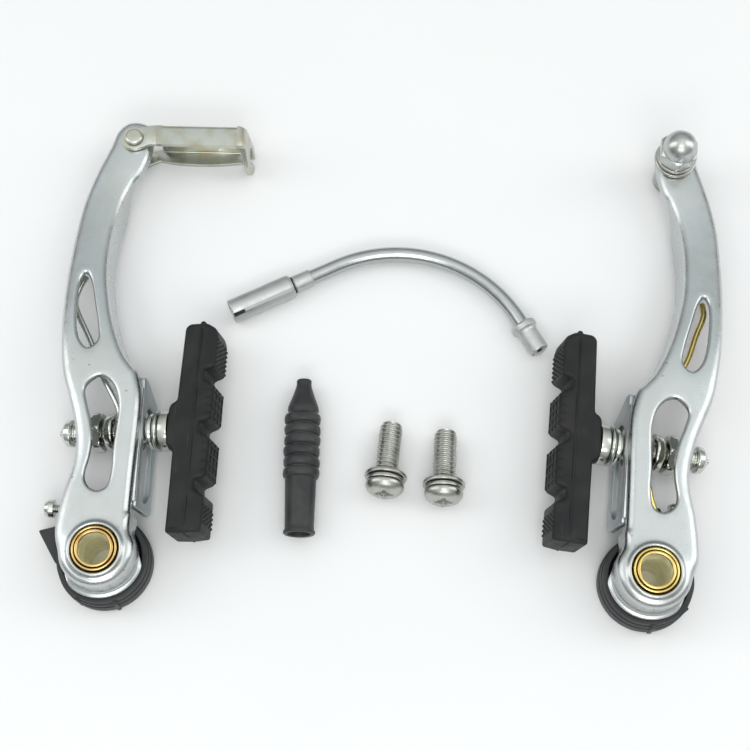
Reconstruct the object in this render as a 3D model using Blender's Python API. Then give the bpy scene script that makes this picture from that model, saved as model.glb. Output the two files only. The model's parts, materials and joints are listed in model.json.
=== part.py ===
"""Linear-pull rim brake kit: two arm sets, guide pipe, boot and fixing bolts, laid flat on a table.

World frame: +Z up, the table is z = 0, +X to the right, +Y from the pivots towards the cable end.
Each arm is drawn in its own frame, in millimetres: v across the arm (positive towards the wheel),
u along the arm (from the pivot towards the cable end) and z up, the arm's outer face on top.
"""
import math

import bmesh
import bpy
from mathutils import Matrix, Vector

MM = 0.001

# ---- driving dimensions (millimetres and degrees) ----
ARM_LENGTH = 115.0            # pivot axis to cable-end axis
LEFT_PIVOT = (-68.6, -51.5)
RIGHT_PIVOT = (68.4, -56.9)
LEFT_LEAN = 1.3               # both arms lean towards +X
RIGHT_LEAN = 6.75

FACE_Z = 19.0                 # arm face at the pivot
HEAD_Z = 12.9                 # arm face at the cable end
SLOPE_START, SLOPE_END = 48.0, 104.0
SHEET = 1.3                   # arm sheet thickness
EDGE_R = 2.2                  # pressed edge radius
WALL_DEPTH = 9.5
SKIRT_DEPTH = 3.0             # short wall above the slot plate
HEAD_THICK = 2.6
DRAFT = 0.06                  # wall flare per millimetre of depth
BRIM_WIDTH = 1.2
BRIM_THICK = 1.3

BORE_R = 3.85
BUSHING_R = 4.75
TUBE_IN_R = 5.0
TUBE_R = 5.6
BUSHING_TOP = 20.4
GAP = 0.3                     # clearance between neighbouring pieces

HOUSING_R = 12.0
HOUSING_TOP = 8.9
RIGHT_HOUSING_TURN = 30.0     # the right spring housing sits turned on its pivot
SCREW_U, SCREW_Z = 13.2, 5.0                # tension screw axis in the arm's frame
SCREW_TIP_V, SCREW_HEAD_V = -7.4, -14.0
SCREW_BLOCK_TOP = 7.2

WIRE_R = 0.8                  # return spring wire
LEFT_LEG = ((6.45, 2.8, 9.6), (4.9, 9.5, 11.0), (3.4, 18.0, 14.0), (3.1, 28.0, 14.7), (2.0, 38.5, 14.7),
            (-2.6, 46.2, 14.2), (-6.4, 55.5, 12.6), (-11.1, 64.5, 11.4))
RIGHT_LEG = ((6.45, 2.8, 9.6), (4.9, 9.5, 11.0), (1.6, 18.0, 14.0), (3.2, 27.0, 14.7), (3.2, 38.5, 14.7),
             (1.0, 45.6, 14.5), (-6.8, 56.0, 12.6), (-10.1, 65.0, 11.4), (-10.1, 70.9, 11.0),
             (-9.4, 74.5, 10.8))

STUD_U = 33.0                 # pad stud, place along the arm
STUD_Z = 9.5                  # stud height where it crosses the slot plate
PLATE_V = 9.65                # outer face of the slot plate at the stud
STUD_TILT = 9.5               # stud and plate tilt, pad side up
STUD_R = 3.0
STUD_REACH = 12.8             # how far the stud runs into the pad, from the slot plate
PLATE_THICK = 1.5

SLOT_LOW, SLOT_HIGH = 17.5, 35.4    # centres of the plate slot's round ends
SLOT_HALF = 3.5

PAD_BACK = 8.5                # from the slot plate's face to the pad's back
PAD_FACE = 17.5               # from the slot plate's face to the friction side
PAD_LOW, PAD_HIGH = -28.0, 27.4     # ends along the arm, from the stud
PAD_GROOVES = (-16.2, -1.1, 12.8)
PAD_HEIGHT = 12.0
LEFT_TOE, RIGHT_TOE = 1.7, 1.1      # each pad's small turn about the vertical

PIPE_R = 2.0
FERRULE_R = 3.3
COLLAR_R = 3.5                # widest ring of the pipe, which it lies on
PIPE_START = (-38.6, 16.7)
PIPE_START_DIR = 25.3
PIPE_END = (44.2, 5.2)
PIPE_END_DIR = -59.5
PIPE_BEND_R = 38.0

BOOT_BASE = (-19.4, -44.6)
BOOT_LENGTH = 41.4
BOOT_LEAN = 1.0

LINK_SHEET = 1.3
LINK_TOP = HEAD_Z + GAP + LINK_SHEET
RIVET_HOLE_R = 2.1
LINK_REACH = 31.9             # rivet axis to the end plate's outer face

BOLT_HEADS = ((2.7, -30.2, 6.3), (17.7, -32.3, 3.0))   # washer centre x, y and lean
BOLT_THREAD = 15.2
WASHER_R = 5.5


# ---- small tools ----
def clear_scene():
    for ob in list(bpy.data.objects):
        bpy.data.objects.remove(ob, do_unlink=True)


def material(name, colour, roughness, metallic):
    mat = bpy.data.materials.new(name)
    mat.use_nodes = True
    shader = mat.node_tree.nodes["Principled BSDF"]
    shader.inputs["Base Color"].default_value = (*colour, 1.0)
    shader.inputs["Roughness"].default_value = roughness
    shader.inputs["Metallic"].default_value = metallic
    return mat


def empty(name, parent=None, location=(0, 0, 0), rotation=(0, 0, 0)):
    """An empty placed in millimetres and degrees under its parent."""
    ob = bpy.data.objects.new(name, None)
    bpy.context.collection.objects.link(ob)
    ob.parent = parent
    ob.location = Vector(location) * MM
    ob.rotation_euler = [math.radians(a) for a in rotation]
    return ob


def solid(name, bm, mat, parent, sharp=35.0):
    """Turn a bmesh in millimetres into a smooth-shaded object under a parent."""
    bmesh.ops.remove_doubles(bm, verts=bm.verts, dist=1e-4)
    bmesh.ops.recalc_face_normals(bm, faces=bm.faces)
    bmesh.ops.scale(bm, vec=(MM, MM, MM), verts=bm.verts)
    mesh = bpy.data.meshes.new(name)
    bm.to_mesh(mesh)
    bm.free()
    mesh.materials.append(mat)
    mesh.shade_smooth()
    mesh.set_sharp_from_angle(angle=math.radians(sharp))
    ob = bpy.data.objects.new(name, mesh)
    bpy.context.collection.objects.link(ob)
    ob.parent = parent
    return ob


def circle(radius, count, centre=(0.0, 0.0), start=0.0):
    step = 2 * math.pi / count
    return [(centre[0] + radius * math.cos(start + i * step),
             centre[1] + radius * math.sin(start + i * step)) for i in range(count)]


def smooth(t):
    t = min(max(t, 0.0), 1.0)
    return t * t * (3 - 2 * t)


def spline_loop(points, steps):
    """Closed Catmull-Rom curve through the points."""
    out = []
    n = len(points)
    for i in range(n):
        p0, p1, p2, p3 = (Vector(points[(i + k) % n]) for k in (-1, 0, 1, 2))
        for s in range(steps):
            t = s / steps
            out.append(0.5 * (2 * p1 + (p2 - p0) * t + (2 * p0 - 5 * p1 + 4 * p2 - p3) * t ** 2
                              + (3 * p1 - p0 - 3 * p2 + p3) * t ** 3))
    return [tuple(p) for p in out]


def spline_path(points, steps):
    """Open Catmull-Rom curve through the points."""
    ends = [2 * Vector(points[0]) - Vector(points[1])] + [Vector(p) for p in points]
    ends.append(2 * Vector(points[-1]) - Vector(points[-2]))
    out = []
    for i in range(1, len(ends) - 2):
        p0, p1, p2, p3 = ends[i - 1:i + 3]
        for s in range(steps):
            t = s / steps
            out.append(0.5 * (2 * p1 + (p2 - p0) * t + (2 * p0 - 5 * p1 + 4 * p2 - p3) * t ** 2
                              + (3 * p1 - p0 - 3 * p2 + p3) * t ** 3))
    out.append(ends[-2])
    return out


def outward_normals(loop):
    """Unit normals in the plane of a counter-clockwise closed loop."""
    n = len(loop)
    normals = []
    for i in range(n):
        a, b = Vector(loop[i - 1]), Vector(loop[(i + 1) % n])
        d = (b - a).normalized()
        normals.append(Vector((d.y, -d.x)))
    return normals


def ring(bm, points):
    return [bm.verts.new(p) for p in points]


def bridge(bm, low, high):
    """Quads between two rings with matching points."""
    n = len(low)
    for i in range(n):
        j = (i + 1) % n
        bm.faces.new((low[i], low[j], high[j], high[i]))


def cap(bm, rings):
    """Fill the area inside the first ring and outside the others."""
    edges = []
    for loop in rings:
        for i, vert in enumerate(loop):
            other = loop[(i + 1) % len(loop)]
            edges.append(bm.edges.get((vert, other)) or bm.edges.new((vert, other)))
    bmesh.ops.triangle_fill(bm, use_beauty=True, use_dissolve=False, edges=edges, normal=(0, 0, 1))


def turned(profile, count, closed=False, start=0.0):
    """Solid of revolution about Z: profile is (radius, z); closed profiles make a ring."""
    bm = bmesh.new()
    loops = []
    for radius, z in profile:
        if radius < 1e-6:
            loops.append([bm.verts.new((0, 0, z))])
        else:
            loops.append(ring(bm, [(x, y, z) for x, y in circle(radius, count, start=start)]))
    pairs = list(zip(loops, loops[1:]))
    if closed:
        pairs.append((loops[-1], loops[0]))
    for low, high in pairs:
        for i in range(count):
            j = (i + 1) % count
            corners = [low[i % len(low)], low[j % len(low)], high[j % len(high)], high[i % len(high)]]
            unique = list(dict.fromkeys(corners))
            if len(unique) > 2:
                bm.faces.new(unique)
    return bm


def lay_along_x(bm, side):
    """Turn a solid about Z into one about X, its +Z end pointing to side * X."""
    bmesh.ops.rotate(bm, verts=bm.verts, matrix=Matrix.Rotation(math.radians(90 * side), 3, "Y"))
    return bm


def prism(loop, z0, z1, chamfer=0.0, side=1, holes=()):
    """Upright solid over a closed outline, with an optional chamfer on both ends."""
    bm = bmesh.new()
    normals = outward_normals(loop)
    levels = [(z0, -chamfer), (z0 + chamfer, 0.0), (z1 - chamfer, 0.0), (z1, -chamfer)]
    if chamfer == 0:
        levels = [(z0, 0.0), (z1, 0.0)]
    rings = []
    for z, off in levels:
        pts = [(side * (p[0] + n.x * off), p[1] + n.y * off, z) for p, n in zip(loop, normals)]
        rings.append(ring(bm, pts))
    for low, high in zip(rings, rings[1:]):
        bridge(bm, low, high)
    lows, highs = [rings[0]], [rings[-1]]
    for hole in holes:
        low = ring(bm, [(side * x, y, z0) for x, y in hole])
        high = ring(bm, [(side * x, y, z1) for x, y in hole])
        bridge(bm, low, high)
        lows.append(low)
        highs.append(high)
    cap(bm, lows)
    cap(bm, highs)
    return bm


def sweep(path, radii, count):
    """Round bar along a path, one radius for each point, with flat ends."""
    bm = bmesh.new()
    path = [Vector(p) for p in path]
    side = (path[1] - path[0]).orthogonal().normalized()
    rings = []
    for i, p in enumerate(path):
        ahead = (path[min(i + 1, len(path) - 1)] - path[max(i - 1, 0)]).normalized()
        side = (side - ahead * side.dot(ahead)).normalized()
        up = ahead.cross(side)
        rings.append(ring(bm, [p + (side * x + up * y) for x, y in circle(radii[i], count)]))
    for low, high in zip(rings, rings[1:]):
        bridge(bm, low, high)
    bm.faces.new(rings[0])
    bm.faces.new(rings[-1])
    return bm


def combine(target, form, operation):
    """Join a hidden form to a solid, or cut it away."""
    form.hide_render = True
    form.display_type = "WIRE"
    step = target.modifiers.new(form.name, "BOOLEAN")
    step.operation = operation
    step.solver = "EXACT"
    step.object = form


# ---- the arm shell ----
OUTLINE = [(-10.5, 5.0), (-9.4, 14.0), (-7.5, 22.0), (-7.2, 27.0), (-8.3, 33.5), (-10.3, 40.0),
           (-12.3, 46.5), (-13.6, 56.0), (-14.1, 66.0), (-14.0, 76.0), (-13.4, 86.0), (-12.2, 96.0),
           (-9.7, 105.0), (-6.4, 113.5), (-4.8, 118.3), (-1.7, 121.1), (2.6, 120.9), (5.1, 118.3),
           (5.1, 113.8), (4.3, 109.5), (2.6, 105.0), (0.7, 102.0), (-1.5, 96.5), (-3.0, 89.5),
           (-3.6, 82.0), (-3.4, 75.0), (-2.5, 69.0), (-1.1, 62.5), (1.0, 56.0), (3.2, 51.2),
           (5.4, 48.3), (6.9, 46.2), (8.2, 40.5), (8.3, 33.0), (8.0, 24.0),
           (7.7, 11.2), (7.9, 9.4)]
BOSS_ARC = [math.radians(a) for a in range(33, -181, -19)]
BOSS_R = 9.4
TEARDROP = [(-8.9, 74.2), (-10.3, 71.6), (-10.4, 65.5), (-9.9, 59.5), (-8.8, 55.2), (-6.4, 52.7),
            (-4.0, 55.0), (-4.4, 59.5), (-5.8, 65.5), (-7.3, 71.6)]
WAVY = [(-2.9, 44.7), (-5.9, 41.8), (-5.2, 37.6), (-3.8, 33.0), (-3.1, 28.0), (-3.4, 23.5), (-4.2, 19.0),
        (-3.2, 16.2), (-0.8, 15.0), (1.5, 16.4), (2.3, 20.5), (2.3, 26.5), (2.7, 32.5), (2.8, 37.0),
        (1.9, 41.0), (-0.2, 43.8)]


def face_height(u):
    """Height of the arm's face: level near the pivot, lower at the cable end."""
    return FACE_Z - (FACE_Z - HEAD_Z) * smooth((u - SLOPE_START) / (SLOPE_END - SLOPE_START))


def wall_depth(v, u):
    """Depth of the channel wall at a point of the outline."""
    depth = WALL_DEPTH + (HEAD_THICK - WALL_DEPTH) * smooth((u - 90.0) / 12.0)
    if v > 0:
        plate_zone = smooth((u - 9.5) / 2.0) * smooth((48.5 - u) / 2.0)
        depth -= (WALL_DEPTH - SKIRT_DEPTH) * plate_zone
    else:
        stud_zone = smooth((u - 18.0) / 2.0) * smooth((43.5 - u) / 2.0)
        depth -= 2.0 * stud_zone
    return depth


def brim_width(v, u):
    """The crescent brim runs round the pivot end, from the outer side to the inner side."""
    angle = math.degrees(math.atan2(u, v))
    if u > 3.0 or abs(v) > 11.0:
        return 0.12
    if angle > 90:
        angle -= 360
    return 0.12 + BRIM_WIDTH * smooth((angle + 168) / 40) * smooth((8 - angle) / 24)


def arm_outline(steps):
    boss = [(BOSS_R * math.cos(a), 0.3 + BOSS_R * math.sin(a)) for a in BOSS_ARC]
    loop = spline_loop(OUTLINE + boss, steps)
    return loop[::-1]


def arm_shell(name, side, mat, parent):
    """Pressed channel: rounded edge, flared walls, brim at the pivot end, three openings."""
    bm = bmesh.new()
    loop = arm_outline(2)
    normals = outward_normals(loop)

    def level(offset, height):
        pts = []
        for (v, u), n in zip(loop, normals):
            o = offset(v, u)
            pts.append((side * (v + n.x * o), u + n.y * o, height(v, u)))
        return ring(bm, pts)

    def bottom(v, u):
        return face_height(u) - wall_depth(v, u)

    def flare(v, u):
        return DRAFT * max(wall_depth(v, u) - EDGE_R, 0.0) * smooth((u - 2.0) / 8.0)

    def lip(v, u):
        return min(BRIM_THICK, 0.45 * (wall_depth(v, u) - EDGE_R) + 0.05)

    outer = [level(lambda v, u: flare(v, u) + brim_width(v, u), bottom),
             level(lambda v, u: flare(v, u) + brim_width(v, u), lambda v, u: bottom(v, u) + lip(v, u) * 0.8),
             level(flare, lambda v, u: bottom(v, u) + lip(v, u))]
    for angle in (0, 45, 90):
        c, s = math.cos(math.radians(angle)), math.sin(math.radians(angle))
        outer.append(level(lambda v, u: -EDGE_R * (1 - c), lambda v, u: face_height(u) - EDGE_R * (1 - s)))
    for low, high in zip(outer, outer[1:]):
        bridge(bm, low, high)
    inner = [level(lambda v, u: flare(v, u) - SHEET, bottom),
             level(lambda v, u: -SHEET - 0.5, lambda v, u: face_height(u) - SHEET)]
    bridge(bm, outer[0], inner[0])
    bridge(bm, inner[0], inner[1])

    tops, ceilings = [outer[-1]], [inner[-1]]
    collar = ((TUBE_R + GAP, -SHEET), (TUBE_R + GAP, 0.9), (TUBE_R + 1.0, 1.0), (TUBE_R + 2.2, 0.0))
    rings = [ring(bm, [(x, y, FACE_Z + dz) for x, y in circle(r, 24)]) for r, dz in collar]
    for low, high in zip(rings, rings[1:]):
        bridge(bm, low, high)
    tops.append(rings[-1])
    ceilings.append(rings[0])
    for slot in (spline_loop(TEARDROP, 2), spline_loop(WAVY, 2)):
        low = ring(bm, [(side * v, u, face_height(u) - SHEET) for v, u in slot])
        high = ring(bm, [(side * v, u, face_height(u)) for v, u in slot])
        bridge(bm, low, high)
        tops.append(high)
        ceilings.append(low)
    pin = circle(2.2 if side > 0 else 3.3, 16, (0.3, ARM_LENGTH))
    low = ring(bm, [(side * v, u, face_height(u) - SHEET) for v, u in pin])
    high = ring(bm, [(side * v, u, face_height(u)) for v, u in pin])
    bridge(bm, low, high)
    tops.append(high)
    ceilings.append(low)
    cap(bm, tops)
    cap(bm, ceilings)
    return solid(name, bm, mat, parent)


# ---- pivot pieces ----
def pivot_pieces(tag, side, mats, pivot, arm, housing_turn):
    low, high, bevel = HOUSING_TOP + 0.2, BUSHING_TOP - 0.3, 0.2
    tube = turned([(TUBE_R, low), (TUBE_R, high - bevel), (TUBE_R - bevel, high), (TUBE_IN_R + bevel, high),
                   (TUBE_IN_R, high - bevel), (TUBE_IN_R, low)], 24, closed=True)
    solid(tag + "_pivot_tube", tube, mats["gold"], arm)
    bushing = turned([(BUSHING_R, 0.2), (BUSHING_R, BUSHING_TOP - bevel), (BUSHING_R - bevel, BUSHING_TOP),
                      (BORE_R + 0.1, BUSHING_TOP), (BORE_R, BUSHING_TOP - 0.1), (BORE_R, 0.2)],
                     24, closed=True)
    solid(tag + "_pivot_bushing", bushing, mats["gold"], pivot)
    housing_frame = empty(tag + "_housing_turn", pivot, rotation=(0, 0, -side * housing_turn))
    spring_housing(tag, side, mats, housing_frame)
    tension_screw(tag, side, mats, housing_frame)


def spring_housing(tag, side, mats, parent):
    """Open cup with a hub, a stepped rim, a lug and a block for the tension screw."""
    profile = [(BUSHING_R + GAP, 0.0), (HOUSING_R, 0.0), (HOUSING_R, 5.0), (HOUSING_R - 0.5, 5.6),
               (HOUSING_R - 0.5, HOUSING_TOP), (HOUSING_R - 1.9, HOUSING_TOP), (HOUSING_R - 1.9, 1.6),
               (BUSHING_R + 1.2, 1.6), (BUSHING_R + 1.2, HOUSING_TOP), (BUSHING_R + GAP, HOUSING_TOP)]
    cup = solid(tag + "_spring_housing", turned(profile, 28, closed=True), mats["plastic"], parent)
    lug = prism([(-10.6, 15.9), (-11.2, 15.4), (-11.2, 8.6), (-17.0, 7.0), (-11.9, -1.4), (-10.7, 0.6),
                 (-10.7, 4.4), (-7.6, 8.6), (-6.6, 9.9), (-6.6, 15.4), (-7.4, 15.9)][::-1],
                1.6, SCREW_BLOCK_TOP, 0.0, side)
    lug_ob = solid(tag + "_lug_form", lug, mats["plastic"], parent)
    hole = lay_along_x(turned([(0.0, -20.0), (1.45, -20.0), (1.45, 20.0), (0.0, 20.0)], 16), 1)
    bmesh.ops.translate(hole, vec=(side * -12.0, SCREW_U, SCREW_Z), verts=hole.verts)
    hole_ob = solid(tag + "_screw_hole_form", hole, mats["plastic"], parent)
    combine(cup, lug_ob, "UNION")
    combine(cup, hole_ob, "DIFFERENCE")


def tension_screw(tag, side, mats, parent):
    """Small screw along the arm's width; its origin lies on its own axis."""
    frame = empty(tag + "_tension_screw_axis", parent, (side * SCREW_HEAD_V, SCREW_U, SCREW_Z))
    reach = SCREW_TIP_V - SCREW_HEAD_V
    profile = [(0.0, reach), (1.15, reach), (1.15, -0.1), (2.3, -0.1), (2.3, -1.4), (1.7, -2.2),
               (0.9, -2.5), (0.75, -1.3), (0.0, -1.2)]
    solid(tag + "_tension_screw", lay_along_x(turned(profile, 16), side), mats["steel"], frame)


def return_spring(tag, side, parent, mat, leg):
    """Coil in the housing, then a leg up the channel to the outer wall near the teardrop slot."""
    coil_r, turns, rise, count = 7.5, 2.25, 2.3, 14
    start = math.radians(-90)
    path = []
    for i in range(int(turns * count) + 1):
        a = start + 2 * math.pi * i / count
        path.append((coil_r * math.cos(a), coil_r * math.sin(a), 2.8 + rise * i / count))
    path += spline_path(leg, 2)
    path = [(side * x, y, z) for x, y, z in path]
    solid(tag + "_return_spring", sweep(path, [WIRE_R] * len(path), 6), mat, parent)


# ---- slot plate, stud, washers and pad ----
def slot_plate(tag, side, mats, parent):
    """Slotted plate below the skirt, with a flange that lies under the arm's face."""
    frame = empty(tag + "_plate_frame", parent, (side * PLATE_V, 0, STUD_Z), (0, -side * STUD_TILT, 0))
    low, high = -6.0, 6.1
    loop = [(12.4, low), (41.0, low), (46.0, 3.4), (46.0, high), (11.6, high), (11.6, low + 1.2)]
    slot = [(SLOT_LOW + SLOT_HALF * math.cos(a), SLOT_HALF * math.sin(a))
            for a in [math.radians(d) for d in range(90, 271, 30)]]
    slot += [(SLOT_HIGH + SLOT_HALF * math.cos(a), SLOT_HALF * math.sin(a))
             for a in [math.radians(d) for d in range(-90, 91, 30)]]
    bm = prism(loop, 0.0, PLATE_THICK, 0.0, 1, [slot])
    for vert in bm.verts:
        u, t, s = vert.co
        vert.co = (side * (s - PLATE_THICK), u, t)
    plate = solid(tag + "_slot_plate", bm, mats["zinc"], frame)
    flange = bmesh.new()
    back = -PLATE_THICK
    outline = [(back - 2.6, high - 0.2), (back - 2.6, high + 1.4), (back - 0.9, high + 1.4),
               (back - 0.9, high), (-0.4, high), (-0.4, high - 1.8), (back + 0.4, high - 1.8),
               (back + 0.4, high - 0.9), (back - 1.8, high - 0.9)]
    rings = [ring(flange, [(side * s, u, t) for s, t in outline]) for u in (13.0, 43.0)]
    bridge(flange, rings[0], rings[1])
    flange.faces.new(rings[0])
    flange.faces.new(rings[1])
    form = solid(tag + "_plate_flange_form", flange, mats["zinc"], frame)
    combine(plate, form, "UNION")


def pad_outline():
    """Pad seen along its height: back with a stud boss, friction side with three slanted grooves."""
    boss = [(6.4, -4.6), (6.9, -5.7), (PAD_BACK - 0.1, -6.6)]
    low_end = [(PAD_BACK, -20.0), (PAD_BACK + 0.2, PAD_LOW + 1.0), (PAD_BACK + 0.9, PAD_LOW),
               (PAD_FACE - 0.8, PAD_LOW), (PAD_FACE, PAD_LOW + 0.9)]
    front = []
    for u in PAD_GROOVES:
        front += [(PAD_FACE, u - 2.0), (PAD_FACE - 2.4, u - 0.6), (PAD_FACE - 2.8, u + 1.6),
                  (PAD_FACE, u + 2.6)]
    high_end = [(PAD_FACE, PAD_HIGH - 3.6), (PAD_FACE - 0.7, PAD_HIGH - 1.3), (14.6, PAD_HIGH),
                (13.6, PAD_HIGH + 0.7), (12.8, PAD_HIGH), (PAD_BACK + 1.4, PAD_HIGH - 0.1),
                (PAD_BACK + 0.3, PAD_HIGH - 1.2)]
    return boss + low_end + front + high_end + [(s, -u) for s, u in reversed(boss)]


def brake_pad(tag, side, mats, parent, pad_toe):
    """Rubber block on the stud, with a blind hole for the stud's end."""
    toe = math.tan(math.radians(pad_toe))
    bm = prism([(s + u * toe, u) for s, u in pad_outline()], -PAD_HEIGHT / 2, PAD_HEIGHT / 2, 0.9, side)
    pad = solid(tag + "_brake_pad", bm, mats["rubber"], parent)
    depth = STUD_REACH + 2 * GAP
    hole = turned([(0.0, 0.0), (STUD_R + GAP, 0.0), (STUD_R + GAP, depth), (0.0, depth)], 20)
    lay_along_x(hole, side)
    form = solid(tag + "_stud_hole_form", hole, mats["rubber"], parent)
    combine(pad, form, "DIFFERENCE")


def washer(name, side, mats, parent, s0, s1, radius, hole, crown=0.0, mat="steel"):
    """Washer on the stud between s0 and s1; a crown rounds its end away from the pad."""
    rim, thick = radius - crown, s1 - s0
    outer = [(radius, s0), (radius, s1)]
    if crown > 0:
        outer = [(rim, s0), (rim + 0.4 * crown, s0 + 0.15 * thick), (radius, s0 + 0.6 * thick), (radius, s1)]
    bm = turned(outer + [(hole, s1), (hole, s0)], 16, closed=True)
    solid(name, lay_along_x(bm, side), mats[mat], parent)


def hex_ring(name, side, mat, parent, s0, s1, flat_r, hole):
    """Hexagon nut on the stud."""
    bm = bmesh.new()
    hexagon = circle(flat_r / math.cos(math.pi / 6), 6)
    rings = [ring(bm, [(x, y, z) for x, y in hexagon]) for z in (s0, s1)]
    holes = [ring(bm, [(x, y, z) for x, y in circle(hole, 18)]) for z in (s0, s1)]
    bridge(bm, rings[0], rings[1])
    bridge(bm, holes[0], holes[1])
    for a, b in zip(rings, holes):
        cap(bm, [a, b])
    solid(name, lay_along_x(bm, side), mat, parent)


def pad_set(tag, side, mats, arm, pad_toe):
    """Everything on the stud. The slide empty moves along the slot, the turn empty about the stud."""
    slide = empty(tag + "_pad_slide_axis", arm, (side * PLATE_V, STUD_U, STUD_Z), (0, -side * STUD_TILT, 0))
    turn = empty(tag + "_pad_turn_axis", slide)
    brake_pad(tag, side, mats, turn, pad_toe)
    stud = turned([(0.0, -24.0), (0.8, -23.9), (1.0, -23.1), (2.4, -22.9), (3.5, -21.9), (3.6, -20.2),
                   (STUD_R, -20.0), (STUD_R, STUD_REACH), (0.0, STUD_REACH)], 20)
    solid(tag + "_pad_stud", lay_along_x(stud, side), mats["steel"], turn)
    hole = STUD_R + GAP
    inside = -PLATE_THICK - GAP
    washer(tag + "_outer_collar_washer", side, mats, slide, GAP, 1.7, 4.6, hole)
    washer(tag + "_outer_cup_washer", side, mats, slide, 2.0, 3.4, 5.4, hole, 0.8)
    washer(tag + "_outer_dome_washer", side, mats, turn, 3.7, 6.1, 5.3, hole)
    washer(tag + "_inner_cup_washer", side, mats, slide, inside - 2.6, inside, 4.9, hole)
    washer(tag + "_inner_dome_washer", side, mats, turn, inside - 6.6, inside - 2.9, 4.9, hole, 1.0)
    washer(tag + "_inner_flat_washer", side, mats, turn, inside - 9.9, inside - 6.9, 5.0, hole, 1.4)
    hex_ring(tag + "_pad_nut", side, mats["steel"], turn, inside - 12.9, inside - 10.2, 4.6, hole)


# ---- left cable end: link bracket ----
def link_bracket(mats, arm):
    """Folded bracket: two plates joined by a web, a lug on each for the rivet, and a slotted end plate."""
    frame = empty("left_link_axis", arm, (0.3, ARM_LENGTH, 0))
    lug = [(3.4 * math.cos(a), 3.4 * math.sin(a)) for a in [math.radians(d) for d in range(100, 291, 19)]]
    inside = LINK_REACH - 1.5
    into = inside + 0.8
    front = lug + [(3.4, -2.9), (6.6, -2.0), (into, -2.0), (into, 3.8), (6.6, 3.8), (3.4, 3.3)]
    rear = [(0.78 * x, 0.78 * y) for x, y in lug]
    rear += [(3.2, -1.6), (6.6, 0.2), (into, 0.2), (into, 3.8), (6.6, 3.8), (3.2, 2.6)]
    middle = LINK_TOP * 0.48
    plates = [prism(loop, z0, z0 + LINK_SHEET, 0.0, 1, [circle(RIVET_HOLE_R, 16)])
              for loop, z0 in ((front, LINK_TOP - LINK_SHEET), (rear, 0.0))]
    bracket = solid("left_link_bracket", plates[0], mats["nickel"], frame)
    web = prism([(7.0, 2.5), (into, 2.5), (into, 3.8), (7.0, 3.8)], 0.6, LINK_TOP - 0.6)
    end = prism([(0.0, -3.4), (LINK_TOP, -3.4), (LINK_TOP, 4.2), (0.0, 4.2)], inside, LINK_REACH, 0.0)
    for vert in end.verts:
        z, u, v = vert.co
        vert.co = (v, u, z)
    bore = lay_along_x(turned([(0, -3.0), (2.3, -3.0), (2.3, 3.0), (0, 3.0)], 20), 1)
    bmesh.ops.translate(bore, vec=(into, 0.5, middle), verts=bore.verts)
    mouth = prism([(28.0, -6.0), (34.0, -6.0), (34.0, 0.5), (28.0, 0.5)], middle - 1.2, middle + 1.2)
    steps = (("rear", plates[1], "UNION"), ("web", web, "UNION"), ("end", end, "UNION"),
             ("bore", bore, "DIFFERENCE"), ("mouth", mouth, "DIFFERENCE"))
    for label, bm, operation in steps:
        form = solid("left_link_" + label + "_form", bm, mats["nickel"], frame)
        combine(bracket, form, operation)
    rivet = turned([(0.0, 0.15), (1.75, 0.15), (1.75, 1.7), (3.1, 1.7), (3.1, HEAD_Z - HEAD_THICK - GAP),
                    (1.75, HEAD_Z - HEAD_THICK - GAP), (1.75, LINK_TOP + 0.2), (2.3, LINK_TOP + 0.2),
                    (2.25, LINK_TOP + 0.8), (1.7, LINK_TOP + 1.2), (0.0, LINK_TOP + 1.3)], 20)
    rivet_frame = empty("left_link_rivet_place", arm, (0.3, ARM_LENGTH, 0))
    solid("left_link_rivet", rivet, mats["nickel"], rivet_frame)


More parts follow.
